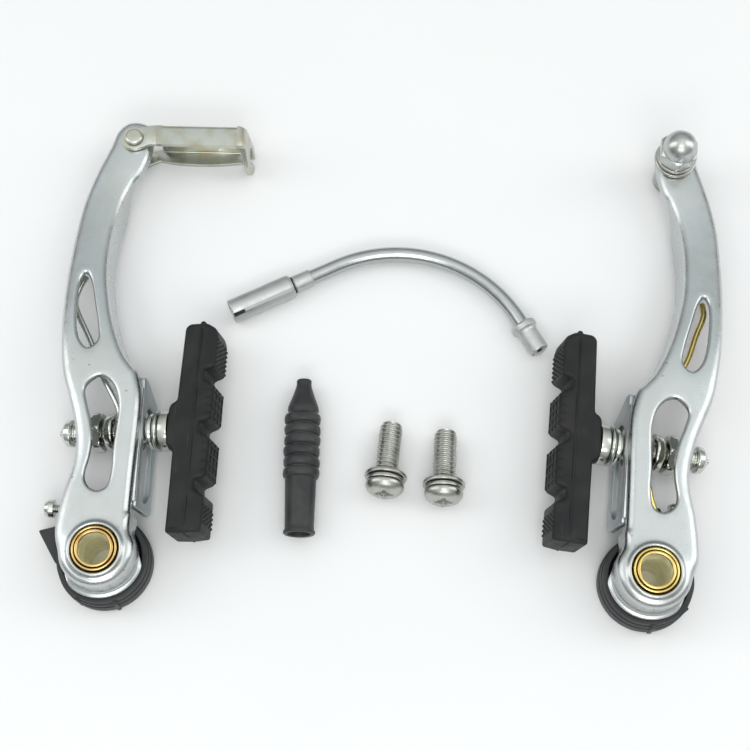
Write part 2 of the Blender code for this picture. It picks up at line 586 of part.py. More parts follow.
# ---- right cable end: anchor ----
def cable_anchor(mats, arm):
    """Anchor bolt through the arm, two washers and a domed cap nut with a blind thread hole."""
    frame = empty("right_anchor_axis", arm, (-0.3, ARM_LENGTH, 0))
    shoulder = HEAD_Z - HEAD_THICK - GAP
    bolt = turned([(0.0, 0.0), (3.5, 0.0), (3.8, 0.4), (3.8, shoulder), (3.0, shoulder), (3.0, 20.6),
                   (0.0, 20.6)], 24)
    solid("right_anchor_bolt", bolt, mats["steel"], frame)
    hole = 3.0 + GAP
    flat_low, flat_high = HEAD_Z + GAP, HEAD_Z + 1.4
    flat = turned([(hole, flat_low), (5.6, flat_low), (5.6, flat_high), (hole, flat_high)], 24, closed=True)
    solid("right_anchor_flat_washer", flat, mats["steel"], frame)
    pinch_low, pinch_high = flat_high + GAP, flat_high + 1.6
    pinch = turned([(hole, pinch_low), (5.0, pinch_low), (5.2, pinch_low + 0.3), (5.2, pinch_high),
                    (hole, pinch_high)], 24, closed=True)
    solid("right_anchor_pinch_washer", pinch, mats["steel"], frame)
    nut_low = pinch_high + GAP
    bm = bmesh.new()
    hexagon = circle(4.75 / math.cos(math.pi / 6), 6)
    hex_points = []
    for (x0, y0), (x1, y1) in zip(hexagon, hexagon[1:] + hexagon[:1]):
        hex_points += [(x0 + (x1 - x0) * k / 4, y0 + (y1 - y0) * k / 4) for k in range(4)]
    start = math.atan2(hexagon[0][1], hexagon[0][0])
    rings = [ring(bm, [(x, y, z) for x, y in hex_points]) for z in (nut_low, nut_low + 3.9)]
    rings.append(ring(bm, [(x, y, nut_low + 4.7) for x, y in circle(4.3, 24, start=start)]))
    dome_r = 4.05
    for angle in (8, 30, 52, 72):
        a = math.radians(angle)
        rings.append(ring(bm, [(x, y, nut_low + 5.0 + dome_r * math.sin(a))
                               for x, y in circle(dome_r * math.cos(a), 24, start=start)]))
    for low, high in zip(rings, rings[1:]):
        bridge(bm, low, high)
    bm.faces.new(rings[-1])
    bore_loop = circle(hole, 24, start=start)
    bore = [ring(bm, [(x, y, z) for x, y in bore_loop]) for z in (nut_low, nut_low + 5.2)]
    bridge(bm, bore[0], bore[1])
    bm.faces.new(bore[1])
    bridge(bm, rings[0], bore[0])
    turn = empty("right_cap_nut_axis", frame)
    solid("right_cap_nut", bm, mats["steel"], turn)


# ---- loose pieces ----
def guide_pipe_path():
    """Straight, bend, straight: returns points with the distance run so far."""
    a0, a1 = math.radians(PIPE_START_DIR), math.radians(PIPE_END_DIR)
    d0, d1 = Vector((math.cos(a0), math.sin(a0))), Vector((math.cos(a1), math.sin(a1)))
    start, end = Vector(PIPE_START), Vector(PIPE_END)
    cross = d0.x * d1.y - d0.y * d1.x
    along = ((end - start).x * d1.y - (end - start).y * d1.x) / cross
    corner = start + d0 * along
    tangent = PIPE_BEND_R * math.tan((a0 - a1) / 2)
    bend_start = corner - d0 * tangent
    centre = bend_start + Vector((d0.y, -d0.x)) * PIPE_BEND_R
    points = [start + d0 * k for k in (0.0, 16.0, 18.0)]
    points += [centre + Vector((-math.sin(a), math.cos(a))) * PIPE_BEND_R
               for a in [a0 + (a1 - a0) * k / 20 for k in range(21)]]
    points.append(end)
    return points, d0, d1


def guide_pipe(mats, parent):
    frame = empty("guide_pipe_place", parent)
    points, d0, d1 = guide_pipe_path()
    z = COLLAR_R
    start, end = Vector(PIPE_START), Vector(PIPE_END)
    centreline = [start + d0 * 14.0] + points[2:-1] + [end - d1 * 0.4]
    pipe = sweep([(p.x, p.y, z) for p in centreline], [PIPE_R] * len(centreline), 12)
    solid("guide_pipe", pipe, mats["aluminium"], frame)

    def along(base, heading, profile, name):
        bm = turned(profile, 16, closed=True)
        turn = Vector((heading.x, heading.y, 0)).to_track_quat("Z", "Y").to_matrix()
        bmesh.ops.rotate(bm, verts=bm.verts, matrix=turn)
        bmesh.ops.translate(bm, vec=(base.x, base.y, z), verts=bm.verts)
        solid(name, bm, mats["aluminium"], frame)

    hole = PIPE_R + GAP
    along(start, d0, [(2.6, 0.0), (FERRULE_R - 0.25, 0.0), (FERRULE_R, 0.3), (FERRULE_R, 17.2),
                      (FERRULE_R - 0.5, 17.9), (hole, 17.9), (hole, 13.0), (2.6, 12.6)],
          "guide_pipe_ferrule")
    along(start + d0 * 18.2, d0, [(hole, 0.0), (2.75, 0.0), (2.75, 1.9), (2.5, 2.2), (hole, 2.2)],
          "guide_pipe_crimp_sleeve")
    along(end - d1 * 9.3, d1, [(hole, 0.0), (3.1, 0.0), (COLLAR_R, 0.4), (COLLAR_R, 1.8), (2.75, 2.3), (2.65, 8.6),
                               (hole, 8.9)], "guide_pipe_end_collar")


def boot_profile():
    """Bellows boot: sleeve, six ridges, long nose. Outer line first, then the bore back down."""
    outer = [(3.95, 0.0), (4.1, 0.5), (3.8, 1.4), (4.0, 14.4)]
    first, pitch = 15.9, 2.9
    for k in range(6):
        z = first + k * pitch
        outer += [(4.0, z - 0.9), (4.7, z), (4.7, z + 0.9), (4.05, z + 1.6)]
    outer += [(3.7, 34.2), (2.9, 36.4), (2.2, 38.8), (1.95, BOOT_LENGTH)]
    inner = [(1.1, BOOT_LENGTH), (1.2, 36.0), (2.7, 32.4), (2.9, 0.0)]
    return outer + inner


def boot(mats, parent):
    frame = empty("boot_place", parent, (*BOOT_BASE, 4.72), (-90, 0, -BOOT_LEAN))
    solid("cable_boot", turned(boot_profile(), 18, closed=True), mats["boot"], frame, 50)


def fixing_bolt(tag, x, y, lean, mats, parent):
    """M6 bolt lying on its washer's rim and its thread's end. Local +Z runs from the head to the tip."""
    reach = BOLT_THREAD
    tilt = math.degrees(math.atan2(WASHER_R - STUD_R, reach + 1.0))
    frame = empty(tag + "_place", parent, (x, y, WASHER_R + 0.3), (-(90 + tilt), 0, -lean))
    bolt = turned([(0.0, -2.8), (2.3, -2.8), (2.6, -4.5), (3.7, -4.4), (4.7, -3.6), (5.1, -2.3), (5.1, -1.6),
                   (STUD_R, -1.6), (STUD_R, reach - 0.6), (STUD_R - 0.6, reach), (0.0, reach)], 18)
    solid(tag, bolt, mats["steel"], frame)
    spring = turned([(3.3, -1.3), (4.9, -1.3), (4.9, -0.3), (3.3, -0.3)], 18, closed=True)
    solid(tag + "_spring_washer", spring, mats["steel"], frame)
    flat = turned([(3.3, 0.0), (WASHER_R, 0.0), (WASHER_R, 1.0), (3.3, 1.0)], 20, closed=True)
    solid(tag + "_flat_washer", flat, mats["steel"], frame)


def centre_on_floor(kit):
    """Move the kit so that its box is centred on the origin and stands on z = 0."""
    bpy.context.view_layer.update()
    corners = []
    for ob in bpy.data.objects:
        if ob.type == "MESH" and not ob.hide_render:
            corners += [ob.matrix_world @ v.co for v in ob.data.vertices]
    lows = [min(c[i] for c in corners) for i in range(3)]
    highs = [max(c[i] for c in corners) for i in range(3)]
    kit.location = (-(lows[0] + highs[0]) / 2, -(lows[1] + highs[1]) / 2, -lows[2])
    bpy.context.view_layer.update()


def build():
    clear_scene()
    mats = {
        "chrome": material("chrome", (0.78, 0.79, 0.80), 0.18, 1.0),
        "zinc": material("zinc", (0.42, 0.45, 0.47), 0.35, 1.0),
        "gold": material("gold_zinc", (0.78, 0.58, 0.22), 0.28, 1.0),
        "steel": material("bright_steel", (0.66, 0.66, 0.64), 0.25, 1.0),
        "nickel": material("nickel", (0.62, 0.59, 0.53), 0.35, 1.0),
        "aluminium": material("aluminium", (0.75, 0.76, 0.77), 0.3, 1.0),
        "plastic": material("black_plastic", (0.045, 0.045, 0.045), 0.5, 0.0),
        "rubber": material("pad_rubber", (0.03, 0.028, 0.027), 0.7, 0.0),
        "boot": material("boot_rubber", (0.025, 0.025, 0.025), 0.5, 0.0),
    }
    kit = empty("kit")
    arms = (("left", 1, LEFT_PIVOT, LEFT_LEAN, 0.0, LEFT_TOE),
            ("right", -1, RIGHT_PIVOT, RIGHT_LEAN, RIGHT_HOUSING_TURN, RIGHT_TOE))
    for tag, side, place, lean, housing_turn, pad_toe in arms:
        pivot = empty(tag + "_pivot_place", kit, (*place, 0), (0, 0, -lean))
        arm = empty(tag + "_arm_axis", pivot)
        arm_shell(tag + "_arm_shell", side, mats["chrome"], arm)
        pivot_pieces(tag, side, mats, pivot, arm, housing_turn)
        slot_plate(tag, side, mats, arm)
        pad_set(tag, side, mats, arm, pad_toe)
        if side > 0:
            return_spring(tag, side, arm, mats["steel"], LEFT_LEG)
            link_bracket(mats, arm)
        else:
            return_spring(tag, side, arm, mats["gold"], RIGHT_LEG)
            cable_anchor(mats, arm)
    guide_pipe(mats, kit)
    boot(mats, kit)
    for name, (x, y, lean) in zip(("left_fixing_bolt", "right_fixing_bolt"), BOLT_HEADS):
        fixing_bolt(name, x, y, lean, mats, kit)
    centre_on_floor(kit)


build()
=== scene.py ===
"""Looks of a linear-pull rim brake kit laid flat on a pale table.

Local shapes are in millimetres. An arm's own frame has v across the arm (towards the wheel),
u along it from the pivot and z up; a stud's frame has s along the stud towards the pad,
u along the arm from the stud and t upwards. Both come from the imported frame's joints.
"""

import json
import math

import bmesh
import bpy
import numpy as np
from mathutils import Matrix, Vector, geometry


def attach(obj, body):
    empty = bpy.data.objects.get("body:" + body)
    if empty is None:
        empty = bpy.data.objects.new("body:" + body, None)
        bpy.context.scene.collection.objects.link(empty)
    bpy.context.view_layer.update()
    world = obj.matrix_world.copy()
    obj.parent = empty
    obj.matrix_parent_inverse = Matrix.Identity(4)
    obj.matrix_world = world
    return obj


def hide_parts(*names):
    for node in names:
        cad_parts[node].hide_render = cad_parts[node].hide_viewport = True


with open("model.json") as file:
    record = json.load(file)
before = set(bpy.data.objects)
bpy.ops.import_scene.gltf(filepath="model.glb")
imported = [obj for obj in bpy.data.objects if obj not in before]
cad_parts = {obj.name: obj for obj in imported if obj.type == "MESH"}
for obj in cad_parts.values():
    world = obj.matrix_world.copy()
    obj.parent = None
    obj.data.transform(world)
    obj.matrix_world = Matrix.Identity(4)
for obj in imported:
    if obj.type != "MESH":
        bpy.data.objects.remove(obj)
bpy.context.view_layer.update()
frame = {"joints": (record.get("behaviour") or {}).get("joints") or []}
JOINTS = {j["name"]: j for j in frame["joints"]}
MM = 0.001
UP = Vector((0, 0, 1))

# ---- dimensions shared with the CAD, in millimetres ----
ARM_LENGTH, PIN_V = 115.0, 0.3
LEFT_PIVOT = (-68.6, -51.5)
FACE_Z, HEAD_Z = 19.0, 12.9
SLOPE_START, SLOPE_END = 48.0, 104.0
SHEET, EDGE_R, WALL_DEPTH, SKIRT_DEPTH, HEAD_THICK = 1.3, 2.2, 9.5, 3.0, 2.6
DRAFT, BRIM_WIDTH, BRIM_THICK = 0.06, 1.2, 1.3
BORE_R, BUSHING_R, TUBE_IN_R, TUBE_R, BUSHING_TOP = 3.85, 4.75, 5.0, 5.6, 20.4
HOUSING_R, HOUSING_TOP = 12.0, 8.9
STUD_U, STUD_R, PLATE_THICK = 33.0, 3.0, 1.5
SLOT_LOW, SLOT_HIGH, SLOT_HALF = 17.5, 35.4, 3.5
PAD_BACK, PAD_FACE, PAD_LOW, PAD_HIGH, PAD_HEIGHT = 8.5, 17.5, -28.0, 27.4, 12.0
PAD_GROOVES = (-16.2, -1.1, 12.8)
PIPE_R, FERRULE_R, COLLAR_R, PIPE_BEND_R = 2.0, 3.3, 3.5, 38.0
PIPE_START, PIPE_START_DIR = (-38.6, 16.7), 25.3
PIPE_END, PIPE_END_DIR = (44.2, 5.2), -59.5
BOOT_BASE, BOOT_LENGTH, BOOT_LEAN = (-19.4, -44.6), 41.4, 1.0
BOLTS = {"left": (2.7, -30.2, 6.3), "right": (17.7, -32.3, 3.0)}
BOLT_THREAD, WASHER_R = 15.2, 5.5
LINK_TOP, LINK_SHEET, LINK_REACH = 14.5, 1.3, 31.9
GAP = 0.3


# ---- frames ----
def place(origin, x, y, z):
    """Matrix from local millimetres to the row frame in metres."""
    rot = Matrix((x, y, z)).transposed().to_4x4()
    return Matrix.Translation(Vector(origin)) @ rot @ Matrix.Scale(MM, 4)


def shift(x, y, z):
    return Matrix.Translation((x, y, z))


# axis orders for shapes made along Z: (x, y, z) goes to (z, x, y), (z, y, x) or (x, z, y)
ON_X = Matrix(((0, 0, 1, 0), (1, 0, 0, 0), (0, 1, 0, 0), (0, 0, 0, 1)))
SWAP_XZ = Matrix(((0, 0, 1, 0), (0, 1, 0, 0), (1, 0, 0, 0), (0, 0, 0, 1)))
SWAP_YZ = Matrix(((1, 0, 0, 0), (0, 0, 1, 0), (0, 1, 0, 0), (0, 0, 0, 1)))


def arm_frame(tag, side):
    along = Vector(JOINTS[tag + "_pad_height"]["axis"])
    across = Vector((along.y, -along.x, 0)) * side
    return place(JOINTS[tag + "_arm_swing"]["pos_m"], across, along, UP)


def pin_frame(tag, side):
    """The arm's frame moved to the pin that holds its cable end."""
    return arm_frame(tag, side) @ shift(PIN_V, ARM_LENGTH, 0)


def stud_frame(tag):
    joint = JOINTS[tag + "_pad_angle"]
    out, along = Vector(joint["axis"]), Vector(JOINTS[tag + "_pad_height"]["axis"])
    up = out.cross(along)
    return place(joint["pos_m"], out, along, up if up.z > 0 else -up)


def housing_frame(tag):
    joint = JOINTS[tag + "_tension_screw_turn"]
    inward = -Vector(joint["axis"])
    along = UP.cross(inward)
    return place(JOINTS[tag + "_arm_swing"]["pos_m"], inward, along if along.y > 0 else -along, UP)


KIT = Vector(JOINTS["left_arm_swing"]["pos_m"]) - Vector((*LEFT_PIVOT, 0)) * MM


def kit_frame(x, y, z, heading):
    """Frame on the table whose third axis points along the heading, in degrees from +X."""
    a = math.radians(heading)
    ahead = Vector((math.cos(a), math.sin(a), 0))
    return place(KIT + Vector((x, y, z)) * MM, ahead.cross(UP), UP, ahead)


# ---- materials ----
def new_material(name, rough, metallic, specular=0.5):
    mat = bpy.data.materials.new(name)
    mat.use_nodes = True
    shader = mat.node_tree.nodes["Principled BSDF"]
    shader.inputs["Roughness"].default_value = rough
    shader.inputs["Metallic"].default_value = metallic
    shader.inputs["Specular IOR Level"].default_value = specular
    return mat, mat.node_tree, shader


def coordinates(tree, stretch=(1, 1, 1)):
    coord = tree.nodes.new("ShaderNodeTexCoord")
    mapping = tree.nodes.new("ShaderNodeMapping")
    mapping.inputs["Scale"].default_value = stretch
    tree.links.new(coord.outputs["Object"], mapping.inputs["Vector"])
    return mapping.outputs["Vector"]


def noise(tree, size_mm, detail=3.0, stretch=(1, 1, 1)):
    node = tree.nodes.new("ShaderNodeTexNoise")
    node.inputs["Scale"].default_value = 1.0 / (size_mm * MM)
    node.inputs["Detail"].default_value = detail
    tree.links.new(coordinates(tree, stretch), node.inputs["Vector"])
    return node.outputs["Fac"]


def spots(tree, size_mm):
    """Distance to scattered points: small values lie on the points."""
    node = tree.nodes.new("ShaderNodeTexVoronoi")
    node.inputs["Scale"].default_value = 1.0 / (size_mm * MM)
    tree.links.new(coordinates(tree), node.inputs["Vector"])
    return node.outputs["Distance"]


def ramp(tree, value, stops):
    """Colour ramp with (position, colour) stops; a plain number is a grey."""
    node = tree.nodes.new("ShaderNodeValToRGB")
    elements = node.color_ramp.elements
    while len(elements) < len(stops):
        elements.new(0.5)
    for element, (position, colour) in zip(elements, stops):
        element.position = position
        element.color = (*colour, 1) if isinstance(colour, tuple) else (colour, colour, colour, 1)
    tree.links.new(value, node.inputs["Fac"])
    return node.outputs["Color"]


def blend(tree, factor, first, second):
    """Mix two colours by a factor socket; a colour may be a socket or a tuple."""
    node = tree.nodes.new("ShaderNodeMix")
    node.data_type = "RGBA"
    tree.links.new(factor, node.inputs["Factor"])
    for socket, colour in ((node.inputs[6], first), (node.inputs[7], second)):
        if isinstance(colour, tuple):
            socket.default_value = (*colour, 1)
        else:
            tree.links.new(colour, socket)
    return node.outputs[2]


def relief(tree, shader, height, strength, depth_mm):
    node = tree.nodes.new("ShaderNodeBump")
    node.inputs["Strength"].default_value = strength
    node.inputs["Distance"].default_value = depth_mm * MM
    tree.links.new(height, node.inputs["Height"])
    tree.links.new(node.outputs["Normal"], shader.inputs["Normal"])


def metal(name, colour, rough, stain=None, stain_mm=9.0, speck=None, grain=0.25):
    """Metal with cloudy stains, small specks, uneven roughness and a fine grain."""
    mat, tree, shader = new_material(name, rough, 1.0)
    tint = colour
    if stain:
        cloud = ramp(tree, noise(tree, stain_mm, 5), ((0.46, 0.0), (0.68, 1.0)))
        tint = blend(tree, cloud, tint, stain)
    if speck:
        dots = ramp(tree, spots(tree, 3.4), ((0.05, 1.0), (0.09, 0.0)))
        patches = ramp(tree, noise(tree, 7.0, 2), ((0.52, 0.0), (0.6, 1.0)))
        both = tree.nodes.new("ShaderNodeMath")
        both.operation = "MULTIPLY"
        tree.links.new(dots, both.inputs[0])
        tree.links.new(patches, both.inputs[1])
        tint = blend(tree, both.outputs[0], tint, speck)
    if isinstance(tint, tuple):
        cloud = ramp(tree, noise(tree, 5.0), ((0.3, 0.0), (0.7, 1.0)))
        tint = blend(tree, cloud, tint, tuple(c * 0.93 for c in tint))
    tree.links.new(tint, shader.inputs["Base Color"])
    spread = ((0.3, rough * 0.8), (0.72, min(rough * 1.35, 0.9)))
    tree.links.new(ramp(tree, noise(tree, 2.2, 5), spread), shader.inputs["Roughness"])
    relief(tree, shader, noise(tree, 0.55, 4), grain, 0.02)
    return mat


def polymer(name, colour, pale, rough, grain_mm, grain, scuff=0.35):
    """Rubber or plastic: dusty patches, scuffs and a moulded grain."""
    mat, tree, shader = new_material(name, rough, 0.0, specular=0.28)
    dust = ramp(tree, noise(tree, 6.0, 6), ((0.42, 0.0), (0.75, scuff)))
    tint = blend(tree, dust, colour, pale)
    scratch = ramp(tree, noise(tree, 1.1, 6, (1.0, 0.22, 1.0)), ((0.64, 0.0), (0.74, 0.5)))
    tree.links.new(blend(tree, scratch, tint, pale), shader.inputs["Base Color"])
    spread = ((0.3, rough * 0.85), (0.7, min(rough * 1.2, 1.0)))
    tree.links.new(ramp(tree, noise(tree, 3.0, 4), spread), shader.inputs["Roughness"])
    relief(tree, shader, noise(tree, grain_mm, 4), grain, 0.05)
    return mat


MATERIALS = {
    "chrome": metal("chromed_steel", (0.55, 0.58, 0.58), 0.28, stain=(0.52, 0.54, 0.525), stain_mm=14.0,
                    speck=(0.27, 0.24, 0.20), grain=0.015),
    "zinc": metal("zinc_plate", (0.54, 0.60, 0.615), 0.38, stain=(0.62, 0.65, 0.64),
                  speck=(0.78, 0.74, 0.62)),
    "gold": metal("yellow_zinc", (0.80, 0.63, 0.24), 0.2, stain=(0.66, 0.48, 0.15), stain_mm=5.0),
    "copper": metal("brassy_zinc", (0.68, 0.50, 0.21), 0.22, stain=(0.58, 0.36, 0.13), stain_mm=4.0),
    # pale olive copy of the plating for the bore wall; its paleness is painted light down the bore
    "olive": metal("bore_zinc_painted_light", (1.0, 0.98, 0.80), 0.6, stain=(0.86, 0.82, 0.62), stain_mm=3.0),
    "satin": metal("satin_steel", (0.53, 0.55, 0.535), 0.3, stain=(0.42, 0.42, 0.38), stain_mm=3.0,
                   grain=0.1),
    "dull": metal("dull_steel", (0.48, 0.485, 0.455), 0.3, stain=(0.38, 0.375, 0.33), stain_mm=2.5,
                  grain=0.08),
    "steel": metal("bright_steel", (0.64, 0.655, 0.62), 0.17, stain=(0.55, 0.55, 0.49), stain_mm=6.0),
    "nickel": metal("nickel_plate", (0.57, 0.585, 0.53), 0.32, stain=(0.48, 0.46, 0.35), stain_mm=5.0,
                    speck=(0.36, 0.32, 0.22)),
    "aluminium": metal("bright_aluminium", (0.54, 0.555, 0.545), 0.46, grain=0.3),
    "pipe": metal("drawn_aluminium", (0.47, 0.49, 0.485), 0.22, grain=0.08),
    "plastic": polymer("black_plastic", (0.030, 0.031, 0.032), (0.08, 0.08, 0.08), 0.46, 0.5, 0.25),
    "rubber": polymer("pad_rubber", (0.009, 0.0095, 0.01), (0.035, 0.034, 0.032), 0.52, 0.35, 0.4, 0.5),
    "boot": polymer("boot_rubber", (0.028, 0.029, 0.030), (0.10, 0.10, 0.098), 0.42, 0.6, 0.3),
}


# ---- mesh tools ----
def circle(radius, count, centre=(0.0, 0.0)):
    step = 2 * math.pi / count
    return [(centre[0] + radius * math.cos(i * step), centre[1] + radius * math.sin(i * step))
            for i in range(count)]


def arc(radius, degrees, centre=(0.0, 0.0)):
    """Points of a circle at a series of angles."""
    angles = [math.radians(d) for d in degrees]
    return [(centre[0] + radius * math.cos(a), centre[1] + radius * math.sin(a)) for a in angles]


def fold(centre, radius, start, stop, steps=6):
    """Arc of a sheet fold, in degrees."""
    return arc(radius, [start + (stop - start) * k / steps for k in range(steps + 1)], centre)


def hexagon(flat_r, angle):
    """Radius of a hexagon in one direction, from its radius at the flats."""
    return flat_r / math.cos((angle + math.pi / 6) % (math.pi / 3) - math.pi / 6)


def smooth(t):
    t = min(max(t, 0.0), 1.0)
    return t * t * (3 - 2 * t)


def catmull(p0, p1, p2, p3, t):
    return 0.5 * (2 * p1 + (p2 - p0) * t + (2 * p0 - 5 * p1 + 4 * p2 - p3) * t ** 2
                  + (3 * p1 - p0 - 3 * p2 + p3) * t ** 3)


def spline_loop(points, steps):
    n = len(points)
    return [tuple(catmull(*(Vector(points[(i + k) % n]) for k in (-1, 0, 1, 2)), s / steps))
            for i in range(n) for s in range(steps)]


def spline_path(points, steps):
    ends = [2 * Vector(points[0]) - Vector(points[1])] + [Vector(p) for p in points]
    ends.append(2 * Vector(points[-1]) - Vector(points[-2]))
    path = [catmull(*ends[i - 1:i + 3], s / steps)
            for i in range(1, len(ends) - 2) for s in range(steps)]
    return path + [ends[-2]]


def fillet(corners, radius, steps=5):
    """Round every corner of a closed outline."""
    out = []
    n = len(corners)
    for i, corner in enumerate(corners):
        c = Vector(corner)
        before, after = Vector(corners[i - 1]) - c, Vector(corners[(i + 1) % n]) - c
        reach = min(radius, before.length * 0.48, after.length * 0.48)
        a, b = c + before.normalized() * reach, c + after.normalized() * reach
        for k in range(steps + 1):
            t = k / steps
            out.append(tuple((1 - t) ** 2 * a + 2 * t * (1 - t) * c + t * t * b))
    return out


def counter_clockwise(loop):
    area = sum(loop[i - 1][0] * loop[i][1] - loop[i][0] * loop[i - 1][1] for i in range(len(loop)))
    return loop if area > 0 else loop[::-1]


def normals_of(loop):
    out = []
    for i in range(len(loop)):
        d = (Vector(loop[(i + 1) % len(loop)]) - Vector(loop[i - 1])).normalized()
        out.append(Vector((d.y, -d.x)))
    return out


def ring(bm, points):
    return [bm.verts.new(p) for p in points]


def bridge(bm, low, high):
    n = len(low)
    for i in range(n):
        j = (i + 1) % n
        bm.faces.new((low[i], low[j], high[j], high[i]))


def stack(bm, rings):
    for low, high in zip(rings, rings[1:]):
        bridge(bm, low, high)


def cap(bm, rings):
    """Fill the area inside the first ring and outside the others."""
    edges = []
    for loop in rings:
        for i, vert in enumerate(loop):
            other = loop[(i + 1) % len(loop)]
            edges.append(bm.edges.get((vert, other)) or bm.edges.new((vert, other)))
    bmesh.ops.triangle_fill(bm, use_beauty=True, use_dissolve=False, edges=edges, normal=(0, 0, 1))


def turned(profile, count=56, closed=False, radius_at=None):
    """Solid of revolution about Z; profile holds (radius, z). radius_at may shape each ring."""
    bm = bmesh.new()
    loops = []
    for radius, z in profile:
        if radius < 1e-6:
            loops.append([bm.verts.new((0, 0, z))])
            continue
        points = []
        for x, y in circle(1.0, count):
            r = radius_at(radius, math.atan2(y, x), z) if radius_at else radius
            points.append((x * r, y * r, z))
        loops.append(ring(bm, points))
    pairs = list(zip(loops, loops[1:])) + ([(loops[-1], loops[0])] if closed else [])
    for low, high in pairs:
        for i in range(count):
            j = (i + 1) % count
            corners = [low[i % len(low)], low[j % len(low)], high[j % len(high)], high[i % len(high)]]
            unique = list(dict.fromkeys(corners))
            if len(unique) > 2:
                bm.faces.new(unique)
    return bm


def lathe(profile, radius, count, steps=3, closed=True, radius_at=None):
    """Turned shape whose profile has rounded corners; an open profile keeps both its ends."""
    line = fillet(profile, radius, steps)
    if not closed:
        line = [profile[0]] + line[steps + 1:-(steps + 1)] + [profile[-1]]
    return turned(line, count, closed, radius_at)


def prism(loop, z0, z1, edge=0.2, steps=3, holes=()):
    """Upright solid over an outline, rounded along both ends and round its holes."""
    bm = bmesh.new()
    levels = [(z0 + edge * (1 - math.sin(a)), -edge * (1 - math.cos(a)))
              for a in [math.pi / 2 * (1 - k / steps) for k in range(steps + 1)]]
    levels += [(z0 + z1 - z, o) for z, o in reversed(levels)]
    caps = ([], [])
    for outline, sign in [(loop, 1)] + [(hole, -1) for hole in holes]:
        outline = counter_clockwise(list(outline))
        pairs = list(zip(outline, normals_of(outline)))
        rings = []
        for z, o in levels:
            rings.append(ring(bm, [(x + n.x * o * sign, y + n.y * o * sign, z) for (x, y), n in pairs]))
        stack(bm, rings)
        caps[0].append(rings[0])
        caps[1].append(rings[-1])
    cap(bm, caps[0])
    cap(bm, caps[1])
    return bm


def sweep(path, radius, count=14):
    """Round bar along a path with softly rounded ends."""
    tip, tip_scale = 0.25, 0.72
    bm = bmesh.new()
    path = [Vector(p) for p in path]
    first, last = (path[1] - path[0]).normalized(), (path[-1] - path[-2]).normalized()
    line = [(path[0] - first * tip * radius, tip_scale)] + [(p, 1.0) for p in path]
    line.append((path[-1] + last * tip * radius, tip_scale))
    side = first.orthogonal().normalized()
    rings = []
    for i, (p, scale) in enumerate(line):
        ahead = (line[min(i + 1, len(line) - 1)][0] - line[max(i - 1, 0)][0]).normalized()
        side = (side - ahead * side.dot(ahead)).normalized()
        other = ahead.cross(side)
        rings.append(ring(bm, [p + (side * x + other * y) * radius * scale
                               for x, y in circle(1.0, count)]))
    stack(bm, rings)
    bm.faces.new(rings[0])
    bm.faces.new(rings[-1])
    return bm


def join(bm, other, matrix=None):
    """Add another shape to this one."""
    if matrix:
        other.transform(matrix)
    mesh = bpy.data.meshes.new("part")
    other.to_mesh(mesh)
    other.free()
    bm.from_mesh(mesh)
    bpy.data.meshes.remove(mesh)
    return bm


def piece(name, bm, where, mat, body, nodes, sharp=38.0):
    """Finish a shape as an object that rides on a body and stands for its CAD nodes."""
    bmesh.ops.remove_doubles(bm, verts=bm.verts, dist=1e-5)
    bm.transform(where)
    bmesh.ops.recalc_face_normals(bm, faces=bm.faces)
    mesh = bpy.data.meshes.new(name)
    bm.to_mesh(mesh)
    bm.free()
    mesh.materials.append(MATERIALS[mat])
    mesh.shade_smooth()
    mesh.set_sharp_from_angle(angle=math.radians(sharp))
    ob = bpy.data.objects.new(name, mesh)
    bpy.context.scene.collection.objects.link(ob)
    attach(ob, body)
    if nodes:
        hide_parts(*nodes)
    return ob


# ---- the pressed arm ----
OUTLINE = [(-10.5, 5.0), (-9.4, 14.0), (-7.5, 22.0), (-7.2, 27.0), (-8.3, 33.5), (-10.3, 40.0),
           (-12.3, 46.5), (-13.6, 56.0), (-14.1, 66.0), (-14.0, 76.0), (-13.4, 86.0), (-12.2, 96.0),
           (-9.7, 105.0), (-6.4, 113.5), (-4.8, 118.3), (-1.7, 121.1), (2.6, 120.9), (5.1, 118.3),
           (5.1, 113.8), (4.3, 109.5), (2.6, 105.0), (0.7, 102.0), (-1.5, 96.5), (-3.0, 89.5),
           (-3.6, 82.0), (-3.4, 75.0), (-2.5, 69.0), (-1.1, 62.5), (1.0, 56.0), (3.2, 51.2),
           (5.4, 48.3), (6.9, 46.2), (8.2, 40.5), (8.3, 33.0), (8.0, 24.0),
           (7.7, 11.2), (7.9, 9.4)]
BOSS = arc(9.4, range(33, -181, -19), (0.0, 0.3))
TEARDROP = [(-8.9, 74.2), (-10.3, 71.6), (-10.4, 65.5), (-9.9, 59.5), (-8.8, 55.2), (-6.4, 52.7),
            (-4.0, 55.0), (-4.4, 59.5), (-5.8, 65.5), (-7.3, 71.6)]
WAVY = [(-2.9, 44.7), (-5.9, 41.8), (-5.2, 37.6), (-3.8, 33.0), (-3.1, 28.0), (-3.4, 23.5), (-4.2, 19.0),
        (-3.2, 16.2), (-0.8, 15.0), (1.5, 16.4), (2.3, 20.5), (2.3, 26.5), (2.7, 32.5), (2.8, 37.0),
        (1.9, 41.0), (-0.2, 43.8)]


WHEEL_SIDE_STEP, BACK_STEP, BACK_STEP_DEPTH, STEP_BLEND = (9.5, 48.5), (18.0, 43.5), 2.0, 2.0
HEAD_START, HEAD_BLEND = 94.0, 9.0
BRIM_START, BRIM_STOP, BRIM_LEAST = -168, 8, 0.05
DISH, DISH_REACH = 0.12, 2.4


def face_height(u):
    return FACE_Z - (FACE_Z - HEAD_Z) * smooth((u - SLOPE_START) / (SLOPE_END - SLOPE_START))


def within(u, span):
    """One inside a span of the arm's length and nought outside it."""
    return smooth((u - span[0]) / STEP_BLEND) * smooth((span[1] - u) / STEP_BLEND)


